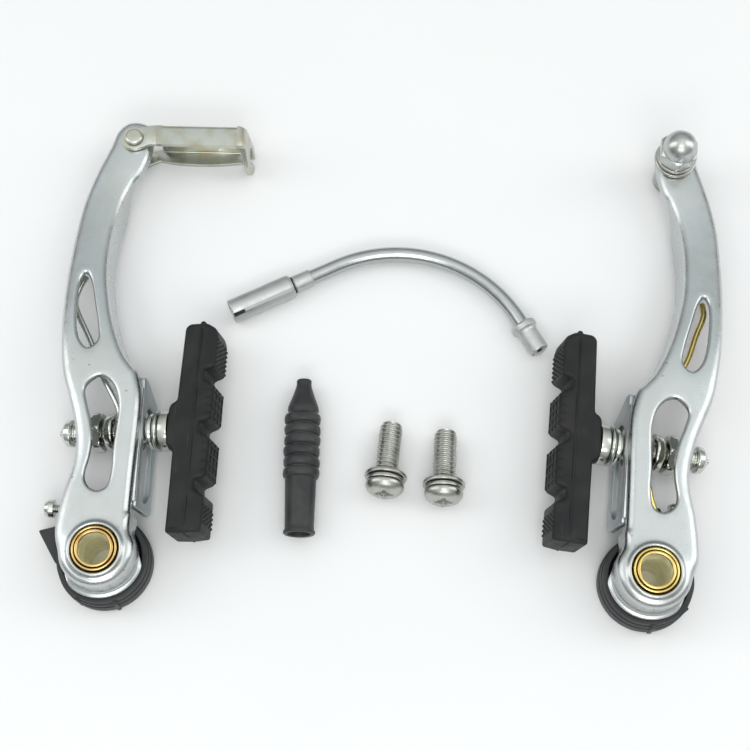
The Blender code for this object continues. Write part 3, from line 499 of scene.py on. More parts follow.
def wall_depth(v, u):
    """Depth of the side wall, shallower along a step on each side and at the head."""
    depth = WALL_DEPTH + (HEAD_THICK - WALL_DEPTH) * smooth((u - HEAD_START) / HEAD_BLEND)
    if v > 0:
        return depth - (WALL_DEPTH - SKIRT_DEPTH) * within(u, WHEEL_SIDE_STEP)
    return depth - BACK_STEP_DEPTH * within(u, BACK_STEP)


def brim_width(v, u):
    """Crescent brim round the pivot end, widest at the middle of its span of angles."""
    angle = math.degrees(math.atan2(u, v))
    if u > 3.0 or abs(v) > 11.0:
        return BRIM_LEAST
    if angle > 90:
        angle -= 360
    rise, fall = smooth((angle - BRIM_START) / 40), smooth((BRIM_STOP - angle) / 24)
    return BRIM_LEAST + (BRIM_WIDTH + 0.1) * rise * fall


def face_triangles(loops):
    """Even triangles inside the first loop and outside the others: points, index triples, borders."""
    spacing, margin = 1.5, 0.65
    arrays = [np.array(loop, float) for loop in loops]

    def inside(points, loop):
        a, b = loop, np.roll(loop, -1, axis=0)
        x, y = points[:, 0, None], points[:, 1, None]
        spans = (a[:, 1] > y) != (b[:, 1] > y)
        with np.errstate(divide="ignore", invalid="ignore"):
            cross = (b[:, 0] - a[:, 0]) * (y - a[:, 1]) / (b[:, 1] - a[:, 1]) + a[:, 0]
        return (np.logical_and(spans, x < cross).sum(axis=1) % 2).astype(bool)

    low, high = arrays[0].min(axis=0), arrays[0].max(axis=0)
    grid = []
    for row, y in enumerate(np.arange(low[1], high[1], spacing * 0.866)):
        grid += [(x, y) for x in np.arange(low[0] + (row % 2) * spacing / 2, high[0], spacing)]
    grid = np.array(grid)
    edge = np.vstack(arrays)
    keep = inside(grid, arrays[0])
    for hole in arrays[1:]:
        keep &= ~inside(grid, hole)
    keep &= np.sqrt(((grid[:, None, :] - edge[None, :, :]) ** 2).sum(axis=2)).min(axis=1) > margin
    points = np.vstack([edge, grid[keep]])
    borders, start = [], 0
    for array in arrays:
        n = len(array)
        borders += [(start + i, start + (i + 1) % n) for i in range(n)]
        start += n
    result = geometry.delaunay_2d_cdt([Vector(p) for p in points], borders, [], 0, 1e-7)
    verts, triangles = np.array([tuple(p) for p in result[0]]), np.array(result[2])
    middle = verts[triangles].mean(axis=1)
    good = inside(middle, arrays[0])
    for hole in arrays[1:]:
        good &= ~inside(middle, hole)
    return verts, triangles[good], edge


def arm_shell(tag, side, where):
    bm = bmesh.new()
    loop = spline_loop(OUTLINE + BOSS, 6)[::-1]
    normals = normals_of(loop)

    def level(offset, height):
        return ring(bm, [(v + n.x * offset(v, u), u + n.y * offset(v, u), height(v, u))
                         for (v, u), n in zip(loop, normals)])

    def bottom(v, u):
        return face_height(u) - wall_depth(v, u)

    def flare(v, u):
        return DRAFT * max(wall_depth(v, u) - EDGE_R, 0.0) * smooth((u - 2.0) / 8.0)

    def lip(v, u):
        return min(BRIM_THICK, 0.45 * (wall_depth(v, u) - EDGE_R) + 0.05)

    def brim_level(out, up, rise=0.0):
        return level(lambda v, u: flare(v, u) + out * brim_width(v, u),
                     lambda v, u: bottom(v, u) + up * lip(v, u) + rise * brim_width(v, u))

    brim = ((0.8, 0.0), (0.96, 0.12), (1.0, 0.35), (0.97, 0.6), (0.85, 0.75), (0.55, 0.78),
            (0.3, 0.84, 0.1), (0.12, 0.95, 0.3), (0.0, 1.0, 0.75))
    outer = [brim_level(*step) for step in brim]
    for k in range(8):
        a = math.radians(90 * k / 7)
        outer.append(level(lambda v, u: -EDGE_R * (1 - math.cos(a)),
                           lambda v, u: face_height(u) - EDGE_R + (EDGE_R - DISH) * math.sin(a)))
    stack(bm, outer)
    inner = [level(lambda v, u: flare(v, u) - SHEET, bottom),
             level(lambda v, u: -SHEET - 0.2, lambda v, u: face_height(u) - SHEET - 1.2),
             level(lambda v, u: -EDGE_R, lambda v, u: face_height(u) - SHEET)]
    bridge(bm, outer[0], inner[0])
    stack(bm, inner)

    # openings: the collar, two slots and the cable-end hole, each as rings from the face downwards
    collar = ((7.9, 0.0), (7.5, 0.06), (7.2, 0.22), (6.95, 0.5), (6.7, 0.75), (6.45, 0.85), (6.2, 0.8),
              (6.0, 0.55), (TUBE_R + GAP, 0.1), (TUBE_R + GAP, -SHEET))
    holes = [[[(x, y, FACE_Z + dz) for x, y in circle(r, 72)] for r, dz in collar]]
    for slot in (spline_loop(TEARDROP, 6), spline_loop(WAVY, 6)):
        slot = counter_clockwise(slot)
        pairs = list(zip(slot, normals_of(slot)))
        rolled = ((0.95, 0.0), (0.7, -0.05), (0.42, -0.2), (0.18, -0.48), (0.04, -0.85), (0.0, -SHEET))
        holes.append([[(v + n.x * o, u + n.y * o, face_height(u) + dz) for (v, u), n in pairs]
                      for o, dz in rolled])
    pin_r = 2.2 if side > 0 else 3.3
    holes.append([[(v, u, face_height(u) + dz) for v, u in circle(pin_r, 40, (PIN_V, ARM_LENGTH))]
                  for dz in (0.0, -SHEET)])
    tops, ceilings = [outer[-1]], [inner[-1]]
    for levels in holes:
        rings = [ring(bm, points) for points in levels]
        stack(bm, rings)
        last = ring(bm, [(x, y, face_height(y) - SHEET) for x, y, _ in levels[0]])
        bridge(bm, rings[-1], last)
        tops.append(rings[0])
        ceilings.append(last)

    flat = [[(vert.co.x, vert.co.y) for vert in loop_verts] for loop_verts in tops]
    verts, triangles, edge = face_triangles(flat)
    for loops, drop in ((tops, 0.0), (ceilings, SHEET)):
        known = [vert for loop_verts in loops for vert in loop_verts]
        made = []
        for x, y in verts:
            gap = np.abs(edge - (x, y)).sum(axis=1)
            nearest = int(gap.argmin())
            if gap[nearest] < 1e-4:
                made.append(known[nearest])
                continue
            border = np.sqrt(((np.array(flat[0]) - (x, y)) ** 2).sum(axis=1)).min()
            dish = 0.0 if drop else DISH * (1 - smooth(border / DISH_REACH))
            made.append(bm.verts.new((x, y, face_height(y) - drop - dish)))
        for a, b, c in triangles:
            if len({made[a], made[b], made[c]}) == 3 and not bm.faces.get((made[a], made[b], made[c])):
                bm.faces.new((made[a], made[b], made[c]))
    piece(tag + "_pressed_arm", bm, where, "chrome", tag + "_arm", [tag + "_arm_shell"],
          50)


# ---- pivot ----
def pivot(tag, side, where, housing):
    ring_mat = "copper" if side > 0 else "gold"
    low, high = HOUSING_TOP + 0.2, BUSHING_TOP - 0.3
    tube = [(TUBE_R, low), (TUBE_R, high), (TUBE_IN_R, high), (TUBE_IN_R, low)]
    piece(tag + "_pivot_sleeve", lathe(tube, 0.28, 72, 4), where, ring_mat, tag + "_arm",
          [tag + "_pivot_tube"])
    bushing = [(BUSHING_R, 0.2), (BUSHING_R, BUSHING_TOP), (BORE_R + 0.12, BUSHING_TOP),
               (BORE_R + 0.1, BUSHING_TOP - 0.9), (BORE_R, BUSHING_TOP - 1.1), (BORE_R, 0.2)]
    ob = piece(tag + "_bushing", lathe(bushing, 0.3, 72, 4), where, ring_mat,
               tag + "_pivot", [tag + "_pivot_bushing"])
    # the bore's wall is duller than the ring round its mouth, and painted light: it gets a pale olive
    # copy of the plating whose paleness stands in for light reaching down the bore
    ob.data.materials.append(MATERIALS["olive"])
    for poly in ob.data.polygons:
        middle = poly.center - where.translation
        if middle.to_2d().length < (BORE_R + 0.16) * MM and middle.z < (BUSHING_TOP - 0.6) * MM:
            poly.material_index = 1
    spring_cup(tag, housing)
    tension_screw(tag)


def spring_cup(tag, where):
    """Plastic cup with a stepped rim, hub, drive lug, screw block and two small rim tabs."""
    bore, hub, wall, base = BUSHING_R + GAP, BUSHING_R + 1.2, HOUSING_R - 1.9, 1.6
    first_step, last_step = HOUSING_R - 0.28, HOUSING_R - 0.62
    profile = [(bore, 0.0), (HOUSING_R - 0.5, 0.0), (HOUSING_R, 0.6), (HOUSING_R, 4.3),
               (first_step, 4.5), (first_step, 6.5), (last_step, 6.7), (last_step, HOUSING_TOP),
               (wall, HOUSING_TOP), (wall, base), (hub, base), (hub, HOUSING_TOP), (bore, HOUSING_TOP)]
    bm = lathe(profile, 0.22, 96)
    lug = [(-10.6, 15.9), (-11.2, 15.4), (-11.2, 8.6), (-17.0, 7.0), (-11.9, -1.4), (-10.7, 0.6),
           (-10.7, 4.4), (-7.6, 8.6), (-6.6, 9.9), (-6.6, 15.4), (-7.4, 15.9)]
    join(bm, prism(fillet(lug, 0.6, 4), base, 7.2, 0.35))
    for degrees, width, reach in ((-70, 1.5, 0.9), (-118, 1.0, 0.6)):
        root, tip = HOUSING_R - 1.2, HOUSING_R + reach - 0.5
        tab = [(-width / 2, root), (width / 2, root), (width / 3, tip), (-width / 3, tip)]
        join(bm, prism(fillet(tab, 0.2), 0.4, 8.2, 0.15),
             Matrix.Rotation(math.radians(degrees - 90), 4, "Z"))
    piece(tag + "_spring_cup", bm, where, "plastic", tag + "_pivot", [tag + "_spring_housing"])


def tension_screw(tag):
    joint = JOINTS[tag + "_tension_screw_turn"]
    out = Vector(joint["axis"])
    where = place(joint["pos_m"], out, UP, out.cross(UP)) @ ON_X
    shank = threaded(1.15, 0.5, 0.14, -6.5, -0.1)
    head = [(0.0, -0.2), (2.3, -0.2), (2.3, 1.3), (1.8, 2.2), (1.0, 2.5), (0.75, 1.3), (0.0, 1.2)]
    join(shank, lathe(head, 0.2, 48, closed=False))
    piece(tag + "_adjusting_screw", shank, where, "steel", tag + "_screw", [tag + "_tension_screw"])


def threaded(radius, pitch, depth, z0, z1):
    """Rod with a helical thread between z0 and z1, tapering at both ends."""
    count, per_turn = 48, 12
    bm = bmesh.new()
    levels = max(int((z1 - z0) / pitch * per_turn), 4)
    rings = []
    for k in range(levels + 1):
        z = z0 + (z1 - z0) * k / levels
        taper = min((z - z0) / pitch, (z1 - z) / pitch, 1.0)
        points = []
        for x, y in circle(1.0, count):
            phase = 2 * math.pi * z / pitch - math.atan2(y, x)
            groove = depth * (0.5 - 0.5 * math.cos(phase))
            r = radius - depth * (1 - taper) * 0.6 - groove
            points.append((x * r, y * r, z))
        rings.append(ring(bm, points))
    stack(bm, rings)
    bm.faces.new(rings[0])
    bm.faces.new(rings[-1])
    return bm


LEGS = {
    "left": ((6.45, 2.8, 9.6), (4.9, 9.5, 11.0), (3.5, 18.0, 14.0), (3.8, 28.0, 14.7), (2.4, 37.0, 14.7),
             (-2.6, 46.2, 14.2), (-6.4, 55.5, 12.6), (-11.1, 64.5, 11.4), (-12.0, 68.0, 11.3),
             (-11.3, 71.7, 11.2), (-9.8, 75.0, 11.0)),
    "right": ((6.45, 2.8, 9.6), (4.4, 9.0, 11.0), (0.3, 14.6, 13.4), (1.8, 20.0, 14.3),
              (3.2, 28.0, 14.7), (3.2, 38.5, 14.7), (1.0, 45.6, 14.5), (-5.4, 56.0, 12.6),
              (-8.1, 65.0, 11.4), (-9.9, 70.9, 11.0), (-9.4, 74.5, 10.8)),
}


def return_spring(tag, where):
    """Coil round the pivot, then a leg up the arm; LEGS holds the leg's points as (v, u, z)."""
    coil_r, wire_r, low, turns, rise, count = 7.5, 0.8, 2.8, 2.25, 2.3, 40
    mat, finish = ("steel", "bright_steel") if tag == "left" else ("gold", "yellow_zinc")
    path = []
    for i in range(int(turns * count) + 1):
        a = math.radians(-90) + 2 * math.pi * i / count
        path.append((coil_r * math.cos(a), coil_r * math.sin(a), low + rise * i / count))
    path += spline_path(LEGS[tag], 8)
    piece(tag + "_spring", sweep(path, wire_r, 12), where, mat, tag + "_arm", [tag + "_return_spring"])


# ---- slot plate, stud and pad ----
def slot_plate(tag, stud):
    low, high = -6.0, 6.1
    loop = [(12.4, low), (41.0, low), (46.0, 3.4), (46.0, high), (11.6, high), (11.6, low + 1.2)]
    slot = arc(SLOT_HALF, range(90, 271, 10), (SLOT_LOW, 0.0))
    slot += arc(SLOT_HALF, range(-90, 91, 10), (SLOT_HIGH, 0.0))
    bm = prism(fillet(loop, 1.3), -PLATE_THICK, 0.0, 0.25, 3, [slot])
    back, top = -PLATE_THICK - 2.6, high + 1.3
    flange = [(back, high - 0.1), (back, top), (-1.2, top), (-0.1, high + 0.3), (-0.1, high - 1.6),
              (-PLATE_THICK, high - 1.6), (-PLATE_THICK, high - 0.1)]
    join(bm, prism(fillet(flange, 0.4), 13.0, 43.0, 0.2), SWAP_XZ)
    piece(tag + "_slotted_plate", bm, stud @ shift(0, -STUD_U, 0) @ ON_X, "zinc", tag + "_arm",
          [tag + "_slot_plate"])


def stud_hardware(tag, stud):
    """Washers, nut and stud; profiles run from the plate, outwards to the pad or inwards to the nut."""
    where = stud @ ON_X
    hole = STUD_R + GAP
    inside = -PLATE_THICK - GAP
    outer = {
        "collar": ("slide", ((hole, GAP), (4.5, GAP), (4.7, 0.9), (4.5, 1.7), (hole, 1.7))),
        "cup": ("slide", ((hole, 2.0), (4.9, 2.0), (5.45, 2.7), (5.35, 3.1), (4.8, 3.4), (hole, 3.4))),
        "dome": ("turn", ((hole, 3.6), (5.1, 3.6), (5.35, 3.9), (5.3, 6.0), (5.0, 6.2), (hole, 6.2))),
    }
    inner = {
        "cup": ("slide", ((hole, 2.6), (4.6, 2.6), (4.9, 2.2), (4.9, 0.0), (hole, 0.0))),
        "dome": ("turn", ((hole, 6.6), (3.9, 6.5), (4.5, 5.6), (4.9, 4.2), (4.9, 2.9), (hole, 2.9))),
        "flat": ("turn", ((hole, 9.9), (3.8, 9.8), (4.7, 8.8), (5.0, 7.6), (5.0, 6.9), (hole, 6.9))),
    }
    for way, rings, start, sign in (("outer", outer, 0.0, 1), ("inner", inner, inside, -1)):
        for name, (motion, points) in rings.items():
            node = f"{tag}_{way}_{name}_washer"
            profile = [(r, start + sign * depth) for r, depth in points]
            piece(node + "_ring", lathe(profile, 0.22, 64), where, "steel",
                  f"{tag}_pad_{motion}", [node])
    nut = hex_nut(4.6, hole, inside - 12.9, inside - 10.2)
    piece(tag + "_stud_nut", nut, where, "steel", tag + "_pad_turn", [tag + "_pad_nut"])
    bm = threaded(STUD_R, 1.0, 0.36, -20.2, 7.0)
    tip = [(0.0, -24.1), (0.75, -24.0), (1.0, -23.2), (2.3, -22.9), (3.4, -22.0), (3.6, -20.4),
           (2.6, -20.1), (0.0, -20.1)]
    join(bm, lathe(tip, 0.35, 56, 4, False))
    piece(tag + "_threaded_stud", bm, where, "steel", tag + "_pad_turn", [tag + "_pad_stud"])


def hex_nut(flat_r, hole, z0, z1):
    """Hexagon nut with chamfered corners."""
    chamfer_r, chamfer_slope = flat_r * 1.03, 1.7

    def shape(radius, angle, z):
        if radius < flat_r * 0.99:
            return radius
        edge = min(z - z0, z1 - z)
        return min(hexagon(flat_r, angle), chamfer_r + edge * chamfer_slope, radius * 1.2)

    profile = [(hole + 0.25, z0), (flat_r * 0.985, z0), (flat_r, z0 + 0.01), (flat_r, z0 + 0.15),
               (flat_r, z0 + 0.45), (flat_r, z1 - 0.45), (flat_r, z1 - 0.15), (flat_r, z1 - 0.01),
               (flat_r * 0.985, z1), (hole + 0.25, z1), (hole, z1 - 0.25), (hole, z0 + 0.25)]
    return turned(profile, 96, True, shape)


SEAM_S = 13.3       # the pad's moulding seam, along the stud


def pad_outline():
    """Side outline in (s, u): boss round the stud, low end, grooved friction side, high end."""
    boss = [(6.4, -4.6), (6.9, -5.7), (PAD_BACK - 0.1, -6.6)]
    low_end = [(PAD_BACK, -20.0), (PAD_BACK, PAD_LOW + 0.1), (SEAM_S, PAD_LOW),
               (PAD_FACE, PAD_LOW + 0.3)]
    front = []
    for u in PAD_GROOVES:
        front += [(PAD_FACE, u - 2.0), (PAD_FACE - 2.4, u - 0.6), (PAD_FACE - 2.8, u + 1.6),
                  (PAD_FACE, u + 2.6)]
    high_end = [(PAD_FACE, PAD_HIGH - 3.6), (PAD_FACE - 0.7, PAD_HIGH - 1.3), (14.6, PAD_HIGH),
                (PAD_BACK + 1.4, PAD_HIGH - 0.1), (PAD_BACK + 0.3, PAD_HIGH - 1.2)]
    return boss + low_end + front + high_end + [(s, -u) for s, u in reversed(boss)]


def brake_pad(tag, stud, toe_degrees):
    """Rubber block: rounded edges, moulding seam, slanted grooves, ribbed and dotted friction blocks."""
    half, rib_r, dot_pitch = PAD_HEIGHT / 2, 0.3, 1.25
    bm = prism(fillet(pad_outline(), 0.75, 4), -half, half, 1.25, 6)
    for vert in bm.verts:
        taper = smooth((vert.co.x - SEAM_S) / 3.5)
        vert.co.z *= 1 - 0.1 * taper
    seam = [(SEAM_S, PAD_LOW + 0.9, half - 0.9), (SEAM_S, PAD_LOW + 1.8, half - 0.12),
            (SEAM_S, PAD_HIGH - 1.6, half - 0.12), (SEAM_S, PAD_HIGH - 0.6, half - 0.9)]
    for sign in (1, -1):
        join(bm, sweep([(s, u, t * sign) for s, u, t in seam], 0.28, 8))
    join(bm, sweep([(SEAM_S, PAD_HIGH - 0.1, t) for t in (-half + 1.2, 0, half - 1.2)], 0.8, 12))
    join(bm, sweep([(SEAM_S, PAD_LOW + 0.2, t) for t in (-half + 1.2, 0, half - 1.2)], 0.4, 12))
    bend = [(PAD_FACE - 1.25, half - 0.6), (PAD_FACE - 0.37, half - 0.97), (PAD_FACE, half - 1.85)]
    over = bend + [(x, -t) for x, t in reversed(bend)]
    for low, high in zip(PAD_GROOVES, PAD_GROOVES[1:]):
        u0, u1 = low + 3.1, high - 2.5
        for k in range(4):
            t = -4.2 + 2.8 * k
            join(bm, sweep([(PAD_FACE, u0, t), (PAD_FACE, u1, t)], rib_r, 6))
        for k in range(4):
            u = u0 + (u1 - u0) * (k + 0.5) / 4
            join(bm, sweep([(x, u, t) for x, t in over], rib_r, 6))
    for u0, u1 in ((PAD_LOW + 3.0, PAD_GROOVES[0] - 2.8), (PAD_GROOVES[-1] + 3.4, PAD_HIGH - 3.6)):
        for i in range(int((u1 - u0) / dot_pitch)):
            for k in range(8):
                dot = turned([(0.42, -0.1), (0.3, 0.22), (0.0, 0.3)], 6)
                u = u0 + dot_pitch * (i + 0.5 * (k % 2))
                join(bm, dot, shift(PAD_FACE, u, -4.4 + dot_pitch * k) @ ON_X)
    lean = math.tan(math.radians(toe_degrees))
    for vert in bm.verts:
        vert.co.x += vert.co.y * lean
    piece(tag + "_pad_block", bm, stud, "rubber", tag + "_pad_turn", [tag + "_brake_pad"],
          50)


# ---- cable ends ----
END_LEAN, END_BEND, END_STOP = 1.5, 2.4, 4      # end plate's lean, fold radius and last fold angle
PIN_HOLE_R = 2.1


def link_bracket(where):
    """Folded bracket: C channel open to the pivot side, two lugs, end plate bent down from the top."""
    t, high = LINK_SHEET, LINK_TOP + 0.35
    front, back = -2.0, 4.2
    top = [(front, high)] + fold((back - 1.5, high - 1.5), 1.5, 90, 0)
    bottom = fold((back - 1.8, 1.8), 1.8, 0, -90) + [(2.3, 0.0), (2.3, t)]
    inner = fold((back - 1.8, 1.8), 0.5, -90, 0) + fold((back - 1.5, high - 1.5), 0.3, 0, 90)
    bend_start = LINK_REACH - END_LEAN - END_BEND
    bm = prism(top + bottom + inner + [(front, high - t)], 6.1, bend_start + 0.05, 0.1)
    bm.transform(ON_X)
    floor_edge = [(4.4, 0.2), (8.0, -0.6), (13.0, -1.05), (19.0, -1.15), (24.0, -0.8), (29.4, -0.2)]
    join(bm, prism(spline_path(floor_edge, 4) + [(29.4, 2.6), (4.4, 2.6)], 0.02, t - 0.02, 0.1))
    lug = arc(3.4, range(90, 291, 8))
    neck = lug + [(2.6, -2.6), (3.6, -2.15), (4.6, -2.0), (7.6, -2.0), (7.6, 3.8), (6.0, 3.8),
                  (4.4, 3.7), (2.8, 3.5)]
    upper = prism(neck, LINK_TOP - t, LINK_TOP, 0.15, 3, [circle(PIN_HOLE_R, 40)])
    for vert in upper.verts:
        vert.co.z += (high - LINK_TOP - 0.02) * smooth((vert.co.x - 3.2) / 2.0)
    join(bm, upper)
    rear = [(0.78 * x, 0.78 * y) for x, y in lug] + [(3.2, -1.2), (5.4, -0.2), (6.6, 0.0), (6.6, 3.2),
                                                      (5.0, 3.3), (2.8, 2.5)]
    join(bm, prism(rear, 0.06, t - 0.06, 0.2, 3, [circle(PIN_HOLE_R, 40)]))
    bend = fold((bend_start, high - END_BEND), END_BEND, 90, END_STOP, 8)
    bend += fold((bend_start, high - END_BEND), END_BEND - t, END_STOP, 90, 8)
    join(bm, prism(bend, front, back - 0.1, 0.4), SWAP_YZ)
    end = end_plate(high - END_BEND + 0.15, front, back)
    end.transform(SWAP_XZ)
    for vert in end.verts:
        vert.co.x -= END_LEAN * vert.co.z / (high - END_BEND)
    join(bm, end)
    piece("left_folded_bracket", bm, where, "nickel", "left_link", ["left_link_bracket"])


def end_plate(high, front, back):
    """End plate in (z, u), hanging below the channel, with a keyhole open at its lower edge."""
    hole = arc(2.3, range(-148, 149, 11), (4.6, 0.3))
    left = fillet([(high, back), (2.0, back), (0.2, 2.4)], 1.2, 5)[1:]
    right = [(0.2, -1.8), (1.2, -3.6), (3.4, -5.0), (6.4, -5.3), (9.2, -4.2), (high, front)]
    keyhole = [(0.2, 1.5), (1.6, 1.5)] + hole[::-1] + [(1.6, -0.9), (0.2, -0.9)]
    outline = [(high, back)] + left + keyhole + spline_path(right, 4)
    return prism(outline, LINK_REACH - LINK_SHEET, LINK_REACH, 0.2, 3)


def link_rivet(where):
    high, shank_r, spacer_r = LINK_TOP, 1.75, 3.1
    shoulder = HEAD_Z - HEAD_THICK - GAP
    profile = [(0.0, 0.15), (shank_r, 0.15), (shank_r, 1.7), (spacer_r, 1.7), (spacer_r, shoulder),
               (shank_r, shoulder), (shank_r, high + 0.2), (2.45, high + 0.2), (2.4, high + 0.8),
               (1.9, high + 1.15), (0.0, high + 1.2)]
    bm = lathe(profile, 0.3, 48, 4, False)
    piece("left_rivet", bm, where, "nickel", "left_arm", ["left_link_rivet"])


def cable_anchor(where):
    """Clamp bolt with a flat washer, a pinch washer and a domed nut."""
    hole = 3.0 + GAP
    shoulder = HEAD_Z - HEAD_THICK - GAP
    bolt = [(0.0, 0.0), (3.5, 0.0), (3.8, 0.4), (3.8, shoulder), (2.95, shoulder), (2.95, 20.4),
            (0.0, 20.4)]
    piece("right_clamp_bolt", lathe(bolt, 0.25, 56, closed=False), where, "dull",
          "right_arm", ["right_anchor_bolt"])
    flat_low, flat_high = HEAD_Z + GAP, HEAD_Z + 1.4
    flat = [(hole, flat_low), (5.6, flat_low), (5.6, flat_high), (hole, flat_high)]
    piece("right_clamp_flat_ring", lathe(flat, 0.3, 64), where, "dull", "right_arm",
          ["right_anchor_flat_washer"])
    low, high = flat_high + GAP, flat_high + 1.6
    pinch = [(hole, low), (4.9, low), (5.2, low + 0.4), (5.25, high), (hole, high)]
    piece("right_clamp_pinch_ring", lathe(pinch, 0.25, 64), where, "dull",
          "right_arm", ["right_anchor_pinch_washer"])
    cap_nut(where, high + GAP, hole)


def cap_nut(where, low, hole):
    """Hexagon nut closed by a dome."""
    flat_r, dome_r = 4.75, 4.45
    blind, hex_top = low + 5.0, low + 3.7
    dome_z = hex_top + 0.8

    def shape(radius, angle, z):
        if radius < flat_r - 0.01 or z > hex_top:
            return radius
        return min(hexagon(flat_r, angle), flat_r * 1.02 + min(z - low, hex_top - z) * 1.5)

    profile = [(0.0, blind), (hole, blind), (hole, low + 0.3), (hole + 0.3, low), (flat_r - 0.05, low),
               (flat_r, low + 0.02), (flat_r, low + 0.25), (flat_r, low + 0.5), (flat_r, hex_top - 0.5),
               (flat_r, hex_top - 0.2), (flat_r, hex_top), (4.6, hex_top + 0.12), (4.48, hex_top + 0.3),
               (dome_r, hex_top + 0.7)]
    profile += arc(dome_r, range(8, 90, 9), (0.0, dome_z)) + [(0.0, dome_z + dome_r)]
    piece("right_domed_nut", turned(profile, 96, radius_at=shape), where, "satin", "right_nut",
          ["right_cap_nut"])


# ---- guide pipe ----
def guide_pipe():
    """Bent pipe between two straight runs, with a ferrule, a crimp sleeve and an end collar."""
    a0, a1 = math.radians(PIPE_START_DIR), math.radians(PIPE_END_DIR)
    d0, d1 = Vector((math.cos(a0), math.sin(a0))), Vector((math.cos(a1), math.sin(a1)))
    start, end = Vector(PIPE_START), Vector(PIPE_END)
    cross = d0.x * d1.y - d0.y * d1.x
    corner = start + d0 * (((end - start).x * d1.y - (end - start).y * d1.x) / cross)
    bend_start = corner - d0 * PIPE_BEND_R * math.tan((a0 - a1) / 2)
    centre = bend_start + Vector((d0.y, -d0.x)) * PIPE_BEND_R
    line = [start + d0 * k for k in (14.0, 15.5, 17.0, 18.0)]
    line += [centre + Vector((-math.sin(a), math.cos(a))) * PIPE_BEND_R
             for a in [a0 + (a1 - a0) * k / 60 for k in range(61)]]
    line.append(end - d1 * 0.4)
    on_table = place(KIT, Vector((1, 0, 0)), Vector((0, 1, 0)), UP)
    path = [(p.x, p.y, COLLAR_R) for p in line]
    piece("guide_pipe_bar", sweep(path, PIPE_R, 32), on_table, "pipe", "guide_pipe_set",
          ["guide_pipe"])
    hole, crimp_at, collar_back = PIPE_R + 0.12, 18.2, 9.3
    ferrule = [(2.6, 0.0), (3.15, 0.0), (FERRULE_R, 0.2), (FERRULE_R, 17.2), (2.95, 17.9), (2.65, 17.9),
               (2.65, 16.0), (hole, 15.8), (hole, 13.0), (2.6, 12.6)]
    crimp = [(hole, 0.3), (2.25, 0.3), (2.38, 0.5), (2.38, 5.2), (2.2, 5.4), (hole, 5.4)]
    collar = [(hole, 0.0), (3.0, 0.0), (COLLAR_R, 0.45), (COLLAR_R, 1.7), (2.9, 2.3), (2.72, 3.0),
              (2.66, 8.4), (2.45, 8.9), (hole, 8.9)]
    seam_angle = 50

    def seamed(radius, angle, z):
        """Rolled seam along the ferrule, open at its free end."""
        off = abs(math.degrees(angle) % 360 - seam_angle)
        if off > 9 or radius < 2.9:
            return radius
        return radius - (0.7 if z < 3.2 else 0.22)

    parts = (("guide_pipe_ferrule", start, PIPE_START_DIR, ferrule, seamed),
             ("guide_pipe_crimp_sleeve", start + d0 * crimp_at, PIPE_START_DIR, crimp, None),
             ("guide_pipe_end_collar", end - d1 * collar_back, PIPE_END_DIR, collar, None))
    for node, base, heading, profile, shape in parts:
        piece(node + "_turned", lathe(profile, 0.2, 120, radius_at=shape),
              kit_frame(base.x, base.y, COLLAR_R, heading), "aluminium", "guide_pipe_set", [node])
    # painted shade: a dark rubber ring in the gap round the pipe and a dark bar in the open end of the
    # seam stand in for the shadow there
    gap_shade = turned([(PIPE_R - 0.1, 0.0), (2.35, 0.0), (2.35, 0.5), (PIPE_R - 0.1, 0.5)], 64, True)
    gap_shade.transform(shift(0, 0, 17.85))
    x, y = arc(FERRULE_R - 0.2, [seam_angle])[0]
    join(gap_shade, sweep([(x, y, z) for z in (0.25, 1.5, 3.2)], 0.32, 10))
    piece("guide_pipe_gap_shade", gap_shade, kit_frame(start.x, start.y, COLLAR_R, PIPE_START_DIR), "rubber",
          "guide_pipe_set", [])


# ---- boot ----
def cable_boot():
    """Rubber sleeve with six bellows ridges and a long nose."""
    outer = [(3.0, 0.0), (3.9, 0.0), (4.12, 0.25), (4.08, 0.7), (3.82, 1.1), (3.75, 2.0), (4.05, 14.0)]
    first, pitch, ridge_r, axis_z = 15.9, 2.9, 4.74, 4.72
    for k in range(6):
        z = first + k * pitch
        outer += [(4.0, z - 1.22), (4.4, z - 1.1), (4.65, z - 0.7), (ridge_r, z), (4.7, z + 0.75),
                  (4.5, z + 1.15), (4.0, z + 1.3)]
    outer += [(3.8, 32.4), (4.1, 32.9), (4.0, 33.8), (3.5, 35.3), (2.85, 37.0), (2.3, 38.7),
              (1.98, 39.8), (1.95, 40.6), (2.0, 41.1), (1.85, BOOT_LENGTH), (1.3, BOOT_LENGTH)]
    inner = [(1.1, 41.0), (1.2, 36.0), (2.7, 32.4), (2.8, 0.6)]

    def uneven(radius, angle, z):
        bellows = 0.05 * math.sin(3 * angle + z * 0.8) if 13 < z < 33 else 0.02 * math.sin(2 * angle)
        return radius * (1 + bellows * 0.35)

    bm = turned(outer + inner, 64, True, uneven)
    x, y = BOOT_BASE
    piece("rubber_boot", bm, kit_frame(x, y, axis_z, 90 - BOOT_LEAN), "boot", "boot", ["cable_boot"],
          60)


